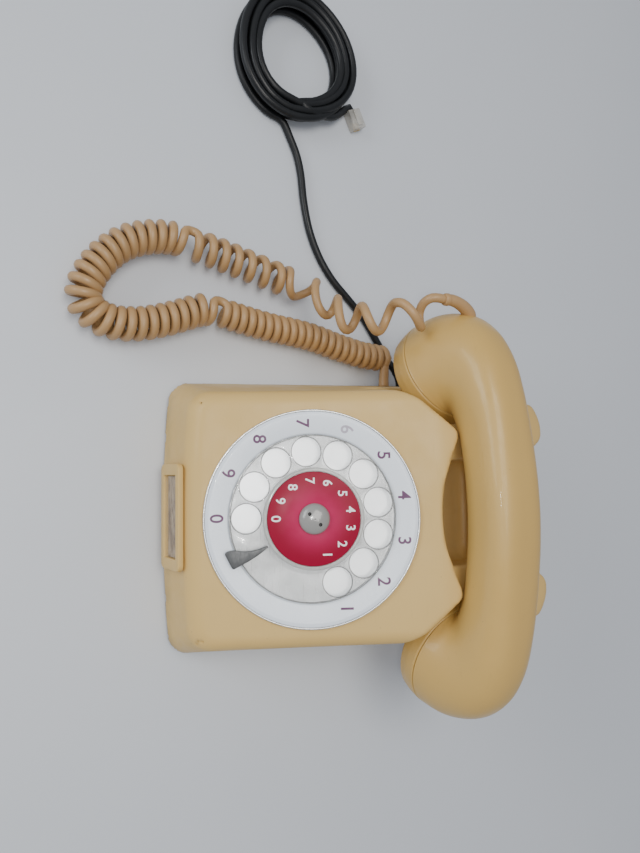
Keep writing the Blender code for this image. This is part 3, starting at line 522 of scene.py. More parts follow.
# --- cords ---
# Axis of the coiled cord, from the boot on the left wall to the boot on the handset. Its height is given
# where it leaves the table; 0 means that the coil lies on it.
CURLY_AXIS = [
    (-94.6, 44.8, 0), (-94.9, 39.6, 0), (-95.3, 34.0, 0), (-95.8, 27.8, 0), (-97.4, 19.3, 0),
    (-99.2, 9.9, 0), (-101.2, 2.0, 0), (-103.6, -9.0, 0), (-105.2, -22.0, 0), (-106.4, -35.0, 0),
    (-108.3, -48.0, 0), (-110.4, -59.6, 0), (-112.2, -68.5, 0), (-111.6, -78.0, 0), (-107.6, -88.5, 0),
    (-103.6, -99.4, 0), (-100.4, -111.5, 0), (-99.6, -122.7, 0), (-102.0, -132.5, 0), (-109.0, -138.8, 0),
    (-118.5, -138.0, 0), (-128.0, -133.0, 0), (-136.0, -126.4, 0), (-142.4, -118.2, 0),
    (-146.6, -108.0, 0), (-148.6, -97.0, 0), (-148.0, -86.5, 0), (-146.0, -76.0, 0), (-143.8, -65.2, 0),
    (-140.8, -51.6, 0), (-138.4, -41.0, 0), (-136.2, -31.0, 0), (-134.2, -23.0, 10.2),
    (-130.6, -15.6, 14.8), (-123.2, -11.6, 25.5), (-113.8, -11.4, 39.0), (-106.2, -11.0, 52.0),
    (-103.0, -8.2, 63.0), (-102.5, -3.2, 71.5), (-103.2, 3.4, 77.4)]
# From the boot on the wall, the wire runs straight into the top of its first turn.
CURLY_HEAD = [(-88.9, 44.6, 12.35), (-91.4, 45.0, 13.6)]
# Where the coil hangs, its stretched turns lean from square to the axis towards square to this direction.
# They start to when the axis is this high, and lean in full when it is HANGING_WITHIN higher.
HANGING_LEAN = (0.05, 0.82, 0.57)
HANGING_SHARE = 0.8
HANGING_FROM = 11.0
HANGING_WITHIN = 20.0
CURLY_OUT = (-6.4, -1.0, 2.4)  # from the axis to the wire where its last turn begins
# The wire's own last turn, and its arch into the boot on the handset.
CURLY_TAIL = [
    (-107.6, 3.6, 83.6), (-102.0, 8.0, 86.0), (-97.4, 14.6, 82.6), (-100.8, 18.0, 78.0),
    (-106.0, 18.2, 77.6), (-110.2, 17.6, 81.4), (-112.4, 19.2, 85.6), (-112.6, 22.6, 87.6),
    (-112.2, 27.0, 88.3)]
WIRE_RADIUS = 2.45
KINK_PLACES = [(-112.6, -69.0), (-147.8, -85.5)]  # where the coil turns over from one hand to the other
# Turns before the first kink, between the kinks, and after the second: mean radius and pitch. After the
# second kink the pitch changes with the millimetres from it.
FIRST_RADIUS, FIRST_PITCH = 6.1, 5.3
SECOND_RADIUS, SECOND_TURNS = 6.7, 27
LAST_RADIUS = 6.9
LAST_PITCHES = [
    (5, 8.6), (13, 7.9), (21, 7.5), (28, 7.9), (37, 8.5), (46, 9.6), (57, 10.4), (68, 16.0), (84, 26.0),
    (98, 29.0), (112, 23.0), (134, 20.0), (156, 18.0)]
KINK_REACH = 4.0  # radius of the bend where the wire turns over
# Where round the axis the wire starts, and where it turns over, in turns from the axis's upper side.
PHASES = (0.0, 0.125, -0.125)
KINK_HALF = 6.0  # half the length over which radius and pitch change at a kink
AXIS_POINTS = 1600
WINDOW = 61  # points over which the axis's height is smoothed
TAIL_LEAD = 2.5  # how far before the end of the turns the tail's curve starts
WIRE_SPACING = 1.9  # between the rings of the tube
WALL_BOOT = [(-76.0, 44.6, 11.0), (-81.0, 44.6, 11.2), (-86.4, 44.6, 12.0), (-90.4, 44.7, 12.4)]
HANDSET_BOOT = [(-103.8, 46.8, 85.6), (-107.0, 44.6, 87.4), (-110.2, 38.5, 88.8), (-112.0, 31.9, 89.0),
                (-112.2, 26.2, 88.2)]
BOOT_SIDES = 18

LINE_RADIUS = 2.35
LINE_ROUTE = [
    (-84.6, 58.6, 7.9), (-89.8, 56.5, 5.5), (-95.5, 53.4, 3.3), (-102.5, 49.2, 2.5), (-112.5, 42.2, 2.45),
    (-122.6, 34.4, 2.45), (-132.9, 23.3, 2.45), (-143.6, 11.8, 2.45), (-156.8, 2.4, 2.45),
    (-172.7, -4.3, 2.45), (-190.6, -8.0, 2.45), (-206.0, -9.6, 2.45), (-218.0, -12.4, 2.45),
    (-228.0, -17.0, 2.45)]
LINE_BOOT = [(-76.0, 60.0, 9.0), (-80.0, 59.8, 8.8), (-84.0, 58.8, 8.1), (-87.0, 57.6, 6.9)]
# Places of the put-away turns across and up in the coil, in spacings: three beside each other, two on them
# and three loosely on top.
COIL_LATTICE = [(1, 0), (0, 0), (-1, 0), (-0.5, 0.87), (0.5, 0.87), (1.0, 1.74), (0.0, 1.74), (-1.0, 1.74)]
COIL_CENTRE = (-278.0, -14.0)
COIL_MEAN = 34.7
COIL_SPACING = 4.9
COIL_START = radians(-12.0)
TURN_POINTS = 30
CHANGE_FROM = 0.72  # share of a turn after which it moves over to the next place
PLUG_CENTRE = (-252.3, 31.4)
PLUG_TURN = radians(25.5)
PLUG_BACK = -6.0  # from the plug's centre to the end where the cord goes in


def curly_centreline():
    """The wire's own line: it winds round the axis, and changes hand at each kink."""
    axis, _ = smooth_line(CURLY_AXIS, AXIS_POINTS)
    walked = walked_along(axis)
    first_kink, second_kink = [walked[np.argmin(np.linalg.norm(axis[:, :2] - place, axis=1))]
                               for place in KINK_PLACES]
    second_pitch = (second_kink - first_kink) / SECOND_TURNS
    rows = [(0, FIRST_PITCH, FIRST_RADIUS), (first_kink - KINK_HALF, FIRST_PITCH, FIRST_RADIUS),
            (first_kink + KINK_HALF, second_pitch, SECOND_RADIUS),
            (second_kink - KINK_HALF, second_pitch, SECOND_RADIUS)]
    rows += [(second_kink + beyond, pitch, LAST_RADIUS) for beyond, pitch in LAST_PITCHES]
    along, pitch, radius = np.array(rows).T
    radii = np.interp(walked, along, radius)
    kernel = np.hanning(WINDOW)
    kernel /= kernel.sum()
    axis[:, 2] = np.maximum(axis[:, 2], radii + WIRE_RADIUS + 0.2)
    axis[:, 2] = np.convolve(np.pad(axis[:, 2], WINDOW // 2, mode="edge"), kernel, mode="valid")
    rate = tau / np.interp(walked, along, pitch)
    for kink in (first_kink, second_kink):
        off = walked - kink
        bend = np.abs(off) / (radii * np.sqrt(np.maximum(KINK_REACH**2 - off**2, 1e-3)))
        limited = np.minimum(np.abs(rate), np.where(np.abs(off) < KINK_REACH, bend, 1e3))
        rate = np.where(off < 0, 1, -1) * np.sign(rate) * limited
    turn = np.concatenate([[0], np.cumsum((rate[1:] + rate[:-1]) / 2 * np.diff(walked))])
    hanging = np.clip((axis[:, 2] - HANGING_FROM) / HANGING_WITHIN, 0, 1) * HANGING_SHARE
    first, second = carried_frames(axis, HANGING_LEAN, hanging)
    out = np.array(CURLY_OUT)
    turn += atan2(out.dot(second[-1]), out.dot(first[-1])) - turn[-1]
    # From the end back to each mark, the turns are stretched a little, so that the wire is at its place.
    marks = (0.0, first_kink, second_kink, walked[-1])
    for here, after, share in reversed(list(zip(marks, marks[1:], PHASES))):
        at = min(np.searchsorted(walked, here), len(walked) - 1)
        miss = (turn[at] - tau * share + pi) % tau - pi
        turn -= miss * np.clip((after - walked) / (after - here), 0, 1)
    wire = axis + radii[:, None] * (np.cos(turn)[:, None] * first + np.sin(turn)[:, None] * second)
    before = wire[np.searchsorted(walked, walked[-1] - TAIL_LEAD)]
    tail, _ = smooth_line([before, wire[-1], *CURLY_TAIL], 160)
    join_at = np.argmin(np.linalg.norm(tail - wire[-1], axis=1))
    head, _ = smooth_line([*CURLY_HEAD, wire[0], wire[12]], 40)
    begin = np.argmin(np.linalg.norm(head - wire[0], axis=1))
    wire = np.vstack([head[:begin - 1], wire, tail[join_at + 2:]])
    line, length = smooth_line(wire, int(walked_along(wire)[-1] / WIRE_SPACING))
    line[:, 2] = np.maximum(line[:, 2], WIRE_RADIUS + 0.05)
    return line, length


def strain_relief(name, route, count, thick, taper, finish, ridge=0.0):
    """A tapering sleeve round a cord where it leaves the phone; ridge is what its mouth stands out by."""
    line, _ = smooth_line(route, count)
    radii = thick - taper * np.linspace(0, 1, count)
    if ridge:
        radii[-5:] += ridge
        radii[-1] -= 0.3
    return tube_mesh(name, line, radii, finish, BOOT_SIDES)


def make_curly_cord():
    line, length = curly_centreline()
    cord = tube_mesh("curly_cord", line, np.full(len(line), WIRE_RADIUS), "cord_beige", 12)
    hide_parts("handset_cord")
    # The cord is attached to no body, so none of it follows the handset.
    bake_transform(cord)

    boot = strain_relief("body_strain_relief", WALL_BOOT, 22, 3.35, 0.7, "cord_beige")
    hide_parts("body_boot")
    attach(boot, "root")

    top = strain_relief("handset_strain_relief", HANDSET_BOOT, 40, 3.7, 0.8, "cord_beige", 0.35)
    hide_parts("handset_boot")
    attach(top, "handset")


def line_coil():
    """The turns of the put-away line cord, from its outside at the table to its top."""
    points = []
    for here, after in zip(COIL_LATTICE, COIL_LATTICE[1:] + COIL_LATTICE[-1:]):
        phase = random.uniform(0, tau)
        for i in range(TURN_POINTS):
            t = i / TURN_POINTS
            change = min(1.0, max(0.0, (t - CHANGE_FROM) / 0.28))
            change = change * change * (3 - 2 * change)
            across = here[0] + (after[0] - here[0]) * change
            level = here[1] + (after[1] - here[1]) * change
            a = COIL_START - tau * t
            # All turns share a gentle out-of-round, and each one wanders a little on its own.
            wander = 1.5 * cos(2 * a + 0.6) + 0.9 * cos(3 * a + 1.9) + 0.5 * cos(2 * a + phase)
            radius = COIL_MEAN + COIL_SPACING * across + wander
            height = LINE_RADIUS + 0.1 + COIL_SPACING * level
            x, y = polar(radius, a)
            points.append((COIL_CENTRE[0] + x, COIL_CENTRE[1] + y, height))
    return points


def make_line_cord():
    turns = line_coil()
    lead, _ = smooth_line(LINE_ROUTE, 34)
    plug_back = Vector((cos(PLUG_TURN), sin(PLUG_TURN))) * PLUG_BACK + Vector(PLUG_CENTRE)
    last = Vector(turns[-1])
    tail = [(last.x + 4.0, last.y + 6.5, 11.2), (-246.0, 9.5, 7.6), (-253.8, 20.0, 4.4),
            (plug_back.x - 2.0, plug_back.y - 2.4, 3.4), (plug_back.x + 1.2, plug_back.y + 0.6, 3.3)]
    route = [tuple(p) for p in lead] + turns + tail
    line, length = smooth_line(route, int(len(route) * 1.6))
    data = bpy.data.curves.new("line_lead", "CURVE")
    data.dimensions = "3D"
    data.bevel_depth = LINE_RADIUS * MM
    data.bevel_resolution = 4
    data.use_fill_caps = True
    spline = data.splines.new("POLY")
    spline.points.add(len(line) - 1)
    for point, place in zip(spline.points, line):
        point.co = (*(place * MM), 1.0)
    data.materials.append(MADE["cord_black"])
    lead_piece = shown("line_lead", data)
    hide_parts("line_cord", "line_cord_coil")
    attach(lead_piece, "root")

    gland = strain_relief("line_strain_relief", LINE_BOOT, 20, 3.3, 0.7, "cord_black")
    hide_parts("line_gland")
    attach(gland, "root")
    plug_parts = make_plug()


def block(name, low, high, finish, bevel, matrix):
    """A block between two corners in millimetres, with rounded edges."""
    corners = [(x, y, z) for z in (low[2], high[2]) for x, y in
               ((low[0], low[1]), (high[0], low[1]), (high[0], high[1]), (low[0], high[1]))]
    faces = [(0, 1, 2, 3), (4, 5, 6, 7), (0, 1, 5, 4), (1, 2, 6, 5), (2, 3, 7, 6), (3, 0, 4, 7)]
    obj = mesh_piece(name, corners, faces, finish)
    edge = obj.modifiers.new("rounded", "BEVEL")
    edge.width = bevel * MM
    edge.segments = 3
    settle(obj)
    obj.data.transform(matrix)
    obj.data.set_sharp_from_angle(angle=radians(40))
    return obj


def make_plug():
    """Clear modular plug: body, latch, four gold contacts in front and the black cord that shows through."""
    place = (Matrix.Translation((PLUG_CENTRE[0] * MM, PLUG_CENTRE[1] * MM, 0))
             @ Matrix.Rotation(PLUG_TURN, 4, "Z"))
    body = block("plug_body", (-6.2, -4.8, 0.2), (6.2, 4.8, 6.6), "plug_clear", 0.45, place)
    latch = block("plug_latch", (-5.6, -1.6, 6.75), (4.6, 1.6, 7.7), "plug_clear", 0.3, place)
    contacts = [block(f"contact_{i}", (1.4, y - 0.22, 1.0), (6.35, y + 0.22, 2.6), "contacts", 0.08, place)
                for i, y in enumerate(np.linspace(-1.9, 1.9, 4))]
    gold = join("plug_contacts", contacts)
    core = block("plug_core", (-5.9, -2.4, 2.3), (-0.6, 2.4, 4.4), "cord_black", 0.5, place)
    pieces = [body, latch, gold, core]
    for piece in pieces:
        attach(piece, "root")
    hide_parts("modular_plug")
    return pieces


# --- handset's shape ---
CUP_TILT = 21.0  # degrees that each cup leans towards the middle
CUP_RADIUS = 30.0
CUP_JOINT = (79.3, 45.3, 69.3)  # centre of the joint between cup and cap, on the +X side
HANDLE_SQUARE = 3.1  # how square the middle's section is: 2 is an ellipse
# Stations on the +X half, from the cap joint to the middle of the handle: x, y, z of the centre, the spine's
# direction above -X in degrees, half height, half width, and how square the section is.
HANDSET_STATIONS = [
    (*CUP_JOINT, 90 + CUP_TILT, CUP_RADIUS, CUP_RADIUS, 2.0), (80.3, 45.4, 76.3, 98.4, 29.5, 27.2, 2.05),
    (78.2, 45.5, 84.6, 82.4, 27.9, 23.4, 2.12), (73.7, 45.6, 90.4, 69.3, 25.6, 20.6, 2.2),
    (68.1, 45.8, 94.2, 57.6, 23.0, 19.0, 2.3), (62.2, 46.0, 96.6, 46.9, 20.7, 18.1, 2.45),
    (55.9, 46.2, 98.4, 37.3, 18.7, 17.4, 2.6), (45.7, 46.5, 100.8, 22.0, 16.4, 16.8, 2.8),
    (33.0, 46.5, 103.0, 9.3, 15.3, 16.7, 3.0), (17.0, 46.5, 104.9, 4.5, 14.9, 16.7, HANDLE_SQUARE),
    (0.0, 46.5, 105.6, 0, 14.9, 16.7, HANDLE_SQUARE)]


# --- housing ---
GRID = 1.4  # spacing of the grid that the surface is found on
GRID_LOW, GRID_HIGH = (-82.0, -100.0, 0.6), (82.0, 103.0, 96.5)
WALL = 2.8
HOUSING_BOTTOM = 2.3
FRONT_Y = -95.5
FRONT_TOP_Z = 35.4
FRONT_BULGE = 3.2  # how far the middle of the front stands out before its ends
FRONT_HALF = 68.0
FRONT_LEAN = 1.4  # how far the foot of the front stands out before its top
REAR_Y = 99.9
REAR_LEAN = 4.7
FACE_ANGLE = radians(25.2)
FACE_TAN = tan(FACE_ANGLE)
CREST_Z = FRONT_TOP_Z + (29.0 - FRONT_Y) * FACE_TAN
SPREAD_LENGTH = 173.0  # the length over which the sides spread towards the back
FOOT_HALF, FOOT_SPREAD = 71.5, 7.5  # half width at the foot in front, and how much wider it is at the back
SIDE_LEAN, LEAN_SPREAD = 9.3, 5.3  # what a side leans in by, foot to top, in front and how much more behind
SIDE_SLANT = 0.97  # turns a width across the leaning side into a distance from it
FRONT_CORNER, REAR_CORNER, FACE_FOLD, TOP_EDGE = 10.0, 23.0, 5.0, 6.0  # radii of the wedge's edges
SHELF_Z = 40.0
SCOOP_BOTTOM = 60.0
NOTCH_BOTTOM = 73.0
FLANK_FLOOR, SCOOP_FLOOR, NOTCH_FLOOR = 7.0, 9.0, 4.0  # radii where the hollows' walls meet their floors
HOLLOW_RIM, NOTCH_RIM, STEP_RIM, SADDLE_RIM = 2.4, 3.0, 2.2, 1.4
# A shallow step down behind the crest, round the scoop; its front edge is an arc.
STEP_HALF = 48.0
STEP_FRONT, STEP_BACK = 21.4, 56.0
STEP_ARC = 170.0
STEP_BOTTOM = 84.0
PLUNGER_X = 33.8
PLUNGER_HOLE = 3.3
HANDLE_Y = 46.5
HANDLE_GAP = 0.6
DIAL_WELL = 50.4
CORD_EXITS = ((44.6, 11.0), (59.6, 9.0))
CORD_HOLE = 3.6
FLANK_EDGE = [
    (95, -4), (74, 0), (65.5, 4.5), (60, 11), (54.5, 17), (49, 23), (44.5, 28.5), (41.8, 35), (41, 45),
    (41, 57), (43.5, 66), (48.5, 72), (54.5, 76), (58.2, 81), (59.2, 87), (57, 92.5), (51, 98), (50, 116)]
SCOOP_EDGE = [
    (0, 21.4), (9, 21.9), (17, 23.3), (23, 25.9), (26.6, 30.5), (27.6, 36), (27.6, 52), (27, 58),
    (22, 62.6), (12, 63.4), (0, 63.4)]
NOTCH_EDGE = [(34, 54), (34, 83), (36, 89), (40, 93.5), (47, 97), (48, 116)]


def round_max(a, b, radius):
    """The solid inside both a and b, with the edge where they meet rounded."""
    corner = np.hypot(np.maximum(a + radius, 0), np.maximum(b + radius, 0))
    return np.minimum(np.maximum(a, b), -radius) + corner


def plan_distance(x, y, outline):
    """Signed distance in plan from points to a closed outline, negative inside it."""
    nearest = np.full(x.shape, 1e9)
    inside = np.zeros(x.shape, bool)
    for (x0, y0), (x1, y1) in zip(outline, np.roll(outline, -1, 0)):
        dx, dy = x1 - x0, y1 - y0
        t = np.clip(((x - x0) * dx + (y - y0) * dy) / (dx * dx + dy * dy), 0, 1)
        nearest = np.minimum(nearest, (x - x0 - t * dx) ** 2 + (y - y0 - t * dy) ** 2)
        if dy:
            inside ^= ((y0 > y) != (y1 > y)) & (x < x0 + (y - y0) * dx / dy)
    return np.where(inside, -1, 1) * np.sqrt(nearest)


def smooth_plan(edge, count, tail):
    """A smooth curve along the edge in plan, closed by the corners of tail."""
    line, _ = smooth_line([(x, y, 0) for x, y in edge], count)
    return np.vstack([line[:, :2], np.array(tail, float)])


FLANK = smooth_plan(FLANK_EDGE, 90, [(140, 116), (140, -4)])
SCOOP = smooth_plan(SCOOP_EDGE, 60, [(-5, 63.4), (-5, 21.4)])
NOTCH = smooth_plan(NOTCH_EDGE, 50, [(-5, 116), (-5, 54)])
# Underside of the handle: distance from the middle, height of its centre, its depth and its half width.
SADDLE = np.array([(x - sin(radians(angle)) * high, z, cos(radians(angle)) * high, wide)
                   for x, y, z, angle, high, wide, square in reversed(HANDSET_STATIONS) if angle < 50])


def wedge(x, y, z):
    """The block before any hollow: side, front and rear walls, sloping face and level crest."""
    reach = np.clip((y - FRONT_Y) / SPREAD_LENGTH, 0, 1.1)
    crown = np.minimum(FRONT_TOP_Z + (y - FRONT_Y) * FACE_TAN, CREST_Z)
    rise = np.clip((z - HOUSING_BOTTOM) / (np.maximum(crown, 20) - HOUSING_BOTTOM), -0.2, 1.2)
    half = FOOT_HALF + FOOT_SPREAD * reach - rise * (SIDE_LEAN + LEAN_SPREAD * reach)
    side = (np.abs(x) - half) * SIDE_SLANT
    low = 1 - (z - HOUSING_BOTTOM) / (FRONT_TOP_Z - HOUSING_BOTTOM)
    front = FRONT_Y + FRONT_BULGE * (x / FRONT_HALF) ** 2 - FRONT_LEAN * low - y
    rear = y - REAR_Y + REAR_LEAN * (z - HOUSING_BOTTOM) / (CREST_Z - HOUSING_BOTTOM)
    walls = round_max(round_max(side, front, FRONT_CORNER), rear, REAR_CORNER)
    slope = (z - FRONT_TOP_Z - (y - FRONT_Y) * FACE_TAN) * cos(FACE_ANGLE)
    top = round_max(slope, z - CREST_Z, FACE_FOLD)
    return round_max(walls, top, TOP_EDGE)


def outside(x, y, z):
    """The housing's outer surface, with its hollows for the cups, the fingers and the handle."""
    across = np.abs(x)
    flank = round_max(plan_distance(across, y, FLANK), SHELF_Z - z, FLANK_FLOOR)
    body = round_max(wedge(x, y, z), -flank, HOLLOW_RIM)
    scoop = round_max(plan_distance(across, y, SCOOP), SCOOP_BOTTOM - z, SCOOP_FLOOR)
    body = round_max(body, -scoop, HOLLOW_RIM)
    step = round_max(across - STEP_HALF, STEP_FRONT + x**2 / STEP_ARC - y, 3.0)
    step = round_max(round_max(step, y - STEP_BACK, 1.0), STEP_BOTTOM - z, 2.5)
    body = round_max(body, -step, STEP_RIM)
    notch = round_max(plan_distance(across, y, NOTCH), NOTCH_BOTTOM - z, NOTCH_FLOOR)
    body = round_max(body, -notch, NOTCH_RIM)
    low, tall, wide = [np.interp(across, SADDLE[:, 0], SADDLE[:, i]) for i in (1, 2, 3)]
    aside = np.abs((y - HANDLE_Y) / (wide + HANDLE_GAP)) ** HANDLE_SQUARE
    under = (np.maximum(low - z, 0) / (tall + HANDLE_GAP)) ** HANDLE_SQUARE
    handle = (1 - (aside + under) ** (1 / HANDLE_SQUARE)) * 15.0
    return round_max(body, handle, SADDLE_RIM)


def shell(x, y, z):
    """The moulding itself: the outer surface, a wall thickness of plastic, and the openings through it."""
    body = outside(x, y, z)
    body = np.maximum(np.maximum(body, -(body + WALL)), HOUSING_BOTTOM - z)
    centre = np.array(DIAL_CENTRE) / MM
    height = (y - centre[1]) * DIAL_NORMAL.y + (z - centre[2]) * DIAL_NORMAL.z
    reach = np.sqrt(np.maximum((x - centre[0])**2 + (y - centre[1])**2 + (z - centre[2])**2 - height**2, 0))
    body = np.maximum(body, -np.maximum(reach - DIAL_WELL, np.abs(height) - 20))
    plunger = np.hypot(np.abs(x) - PLUNGER_X, y - HANDLE_Y) - PLUNGER_HOLE
    body = np.maximum(body, -np.maximum(plunger, 60 - z))
    for exit_y, exit_z in CORD_EXITS:
        body = np.maximum(body, -np.maximum(np.hypot(y - exit_y, z - exit_z) - CORD_HOLE, x + 60))
    return body


def surface_net(field, low, high, step):
    """Points and quads on the surface where the field is zero, one point for each grid cell that it crosses.
    It has to stay clear of the grid's own sides."""
    axes = [np.arange(a, b + step, step) for a, b in zip(low, high)]
    values = field(*np.meshgrid(*axes, indexing="ij"))
    inside = values < 0
    cells = np.zeros(tuple(n - 1 for n in values.shape), int)
    corners = [(i, j, k) for i in (0, 1) for j in (0, 1) for k in (0, 1)]
    for i, j, k in corners:
        cells += inside[i:i + cells.shape[0], j:j + cells.shape[1], k:k + cells.shape[2]]
    mixed = np.argwhere((cells > 0) & (cells < 8))
    number = np.full(cells.shape, -1)
    number[tuple(mixed.T)] = np.arange(len(mixed))
    total = np.zeros((len(mixed), 3))
    count = np.zeros(len(mixed))
    for first in corners:
        for ahead in np.eye(3, dtype=int)[np.array(first) == 0]:
            a = values[tuple((mixed + first).T)]
            b = values[tuple((mixed + first + ahead).T)]
            crossed = (a < 0) != (b < 0)
            t = np.where(crossed, a / np.where(crossed, a - b, 1), 0)
            place = mixed + first + t[:, None] * ahead
            total[crossed] += place[crossed]
            count += crossed
    points = total / count[:, None] * step + np.array(low)
    faces = []
    for axis in range(3):
        u, v = [i for i in range(3) if i != axis]
        edges = np.argwhere(np.diff(inside, axis=axis))
        quad = []
        for du, dv in ((-1, -1), (0, -1), (0, 0), (-1, 0)):
            cell = edges.copy()
            cell[:, u] += du
            cell[:, v] += dv
            quad.append(number[tuple(cell.T)])
        quad = np.stack(quad, 1)
        flip = inside[tuple(edges.T)] == (axis == 1)
        quad[flip] = quad[flip][:, ::-1]
        faces.append(quad)
    return points, np.vstack(faces)


def settle_on(field, points, rounds=3):
    """Moves points along the field's slope until they are on its surface."""
    reach = 0.05
    for _ in range(rounds):
        here = field(*points.T)
        slope = []
        for aside in np.eye(3) * reach:
            slope.append((field(*(points + aside).T) - field(*(points - aside).T)) / (2 * reach))
        slope = np.stack(slope, 1)
        steep = np.maximum((slope**2).sum(1), 0.3)
        move = slope * (here / steep)[:, None]
        far = np.linalg.norm(move, axis=1)
        points = points - move * np.minimum(1, 0.5 / np.maximum(far, 1e-9))[:, None]
    return points


def make_housing():
    points, faces = surface_net(shell, GRID_LOW, GRID_HIGH, GRID)
    points = settle_on(shell, points)
    mesh = bpy.data.meshes.new("housing_shell")
    mesh.from_pydata((points * MM).tolist(), [], faces.tolist())
    mesh.shade_smooth()
    mesh.materials.append(MADE["housing"])
    obj = shown("housing_shell", mesh)
    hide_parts("housing")
    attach(obj, "root")


def round_outline(half_x, half_y, radius):
    outline = []
    for sign_x, sign_y, start in ((1, 1, 0), (-1, 1, 90), (-1, -1, 180), (1, -1, 270)):
        for turn in np.linspace(0, 90, 9):
            across, along = polar(radius, radians(start + turn))
            outline.append((sign_x * (half_x - radius) + across, sign_y * (half_y - radius) + along))
    return outline


def circle(radius, steps, centre=(0, 0)):
    turn = [tau * i / steps for i in range(steps)]
    return [(centre[0] + radius * cos(a), centre[1] + radius * sin(a)) for a in turn]


def flat_plate(name, outlines, low, high, edge, finish, matrix, rim=None):
    """A plate with holes and rounded edges, from its outline and the outlines of its holes. rim is a second
    finish for the edges."""
    data = bpy.data.curves.new(name, "CURVE")
    data.dimensions = "2D"
    data.fill_mode = "BOTH"
    data.extrude = ((high - low) / 2 - edge) * MM
    data.bevel_depth = edge * MM
    data.bevel_resolution = 2
    for outline in outlines:
        spline = data.splines.new("POLY")
        spline.points.add(len(outline) - 1)
        for point, (x, y) in zip(spline.points, outline):
            point.co = (x * MM, y * MM, 0, 1)
        spline.use_cyclic_u = True
    obj = shown(name, data)
    mesh = evaluated_mesh(obj)
    bpy.data.objects.remove(obj, do_unlink=True)
    work = bmesh.new()
    work.from_mesh(mesh)
    bmesh.ops.remove_doubles(work, verts=work.verts, dist=2e-6)
    bmesh.ops.recalc_face_normals(work, faces=work.faces)
    for face in work.faces:
        face.smooth = True
        face.material_index = 1 if rim and abs(face.normal.z) < 0.9 else 0
    work.to_mesh(mesh)
    work.free()
    mesh.transform(matrix @ Matrix.Translation((0, 0, (low + high) / 2 * MM)))
    mesh.materials.clear()
    mesh.materials.append(MADE[finish])
    if rim:
        mesh.materials.append(MADE[rim])
    mesh.set_sharp_from_angle(angle=radians(20))
    return shown(name, mesh)


LABEL_PLACE = (-1.5, FRONT_Y - 0.72, 20.5)
LABEL_OUTSIDE, LABEL_OPENING = (26.4, 11.8), (20.6, 7.6)  # half length and half height


def make_label():
    """Holder of the number label on the front wall: a frame with rounded edges round a recessed card."""
    lean = atan2(FRONT_LEAN, FRONT_TOP_Z - HOUSING_BOTTOM)
    holder = Matrix.Translation(Vector(LABEL_PLACE) * MM) @ Matrix.Rotation(radians(90) - lean, 4, "X")
    edge = 0.7
    outer = round_outline(LABEL_OUTSIDE[0] - edge, LABEL_OUTSIDE[1] - edge, 2.6)
    inner = round_outline(LABEL_OPENING[0] + edge, LABEL_OPENING[1] + edge, 1.4)
    holder_frame = flat_plate("label_holder", [outer, inner], 0.35, 3.2, edge, "housing", holder)
    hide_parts("label_frame")
    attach(holder_frame, "root")


# --- dial ---
# Radii and heights are about the middle of the dial; heights are square to its face.
RING_RADIUS = 52.95
RING_CREST, RING_CREST_HEIGHT = 51.1, 2.2
RING_LOW, RING_LOW_HEIGHT = 42.2, 1.0
RING_SECTION = [(RING_RADIUS, 0.3), (RING_RADIUS, 2.0), (RING_CREST, RING_CREST_HEIGHT),
                (RING_LOW, RING_LOW_HEIGHT), (41.5, 0.3), (41.5, -1.6), (43.4, -1.6), (49.8, -0.6),
                (49.8, 0.3)]
BEZEL_SECTION = [(53.0, 0.3), (54.0, 0.3), (53.95, 2.1), (53.6, 2.4), (53.0, 2.3)]
WHEEL_RADIUS = 41.3
WHEEL_UNDER, WHEEL_TOP = 1.4, 3.6
WHEEL_EDGE = 0.45
HOLE_RADIUS = 7.1
HOLE_CIRCLE = 33.0
FIRST_HOLE_ANGLE = radians(-91.1)
HOLE_STEP = radians(-27.68)
BORE = 3.5
DISC_RADIUS = 23.0
DISC_SECTION = [(BORE, 3.9), (DISC_RADIUS, 3.9), (DISC_RADIUS, 4.7), (BORE, 5.2)]
BAND_SECTION = [(23.1, 3.9), (25.0, 3.9), (24.8, 5.2), (23.2, 5.4)]
HUB_RADIUS, HUB_FOOT, HUB_TOP = 7.6, 5.4, 6.3
DOME_RADIUS, DOME_FOOT, DOME_RISE = 7.4, 6.4, 2.9
SPANNER_CIRCLE = 3.7
RING_FIGURES, RING_FIGURE_SIZE = 47.2, 9.0  # radius that the figures stand on, and their size
DISC_FIGURES, DISC_FIGURE_SIZE = 18.6, 6.4
STOP_ANGLE = radians(-63.4)
# Outline of the finger stop, as radius and distance to one side, from its tip to the ring and back.
STOP_HORN = [(26.2, 1.5), (31.0, 2.4), (37.0, 2.95), (45.6, 3.0), (45.6, -5.5), (43.6, -5.5), (41.6, -4.7),
             (39.2, -3.0), (36.4, -1.3), (33.2, -0.1), (30.0, 0.6), (26.6, 0.9), (26.2, 1.2)]


def ring_height(reach):
    return RING_LOW_HEIGHT + (reach - RING_LOW) * 1.2 / (RING_CREST - RING_LOW)


def disc_height(reach):
    return 5.2 - (reach - BORE) * 0.5 / (DISC_RADIUS - BORE)


def finger_place(i, radius):
    """The place in line with finger hole i, counted from the 0, at a radius."""
    return polar(radius, FIRST_HOLE_ANGLE + HOLE_STEP * i)


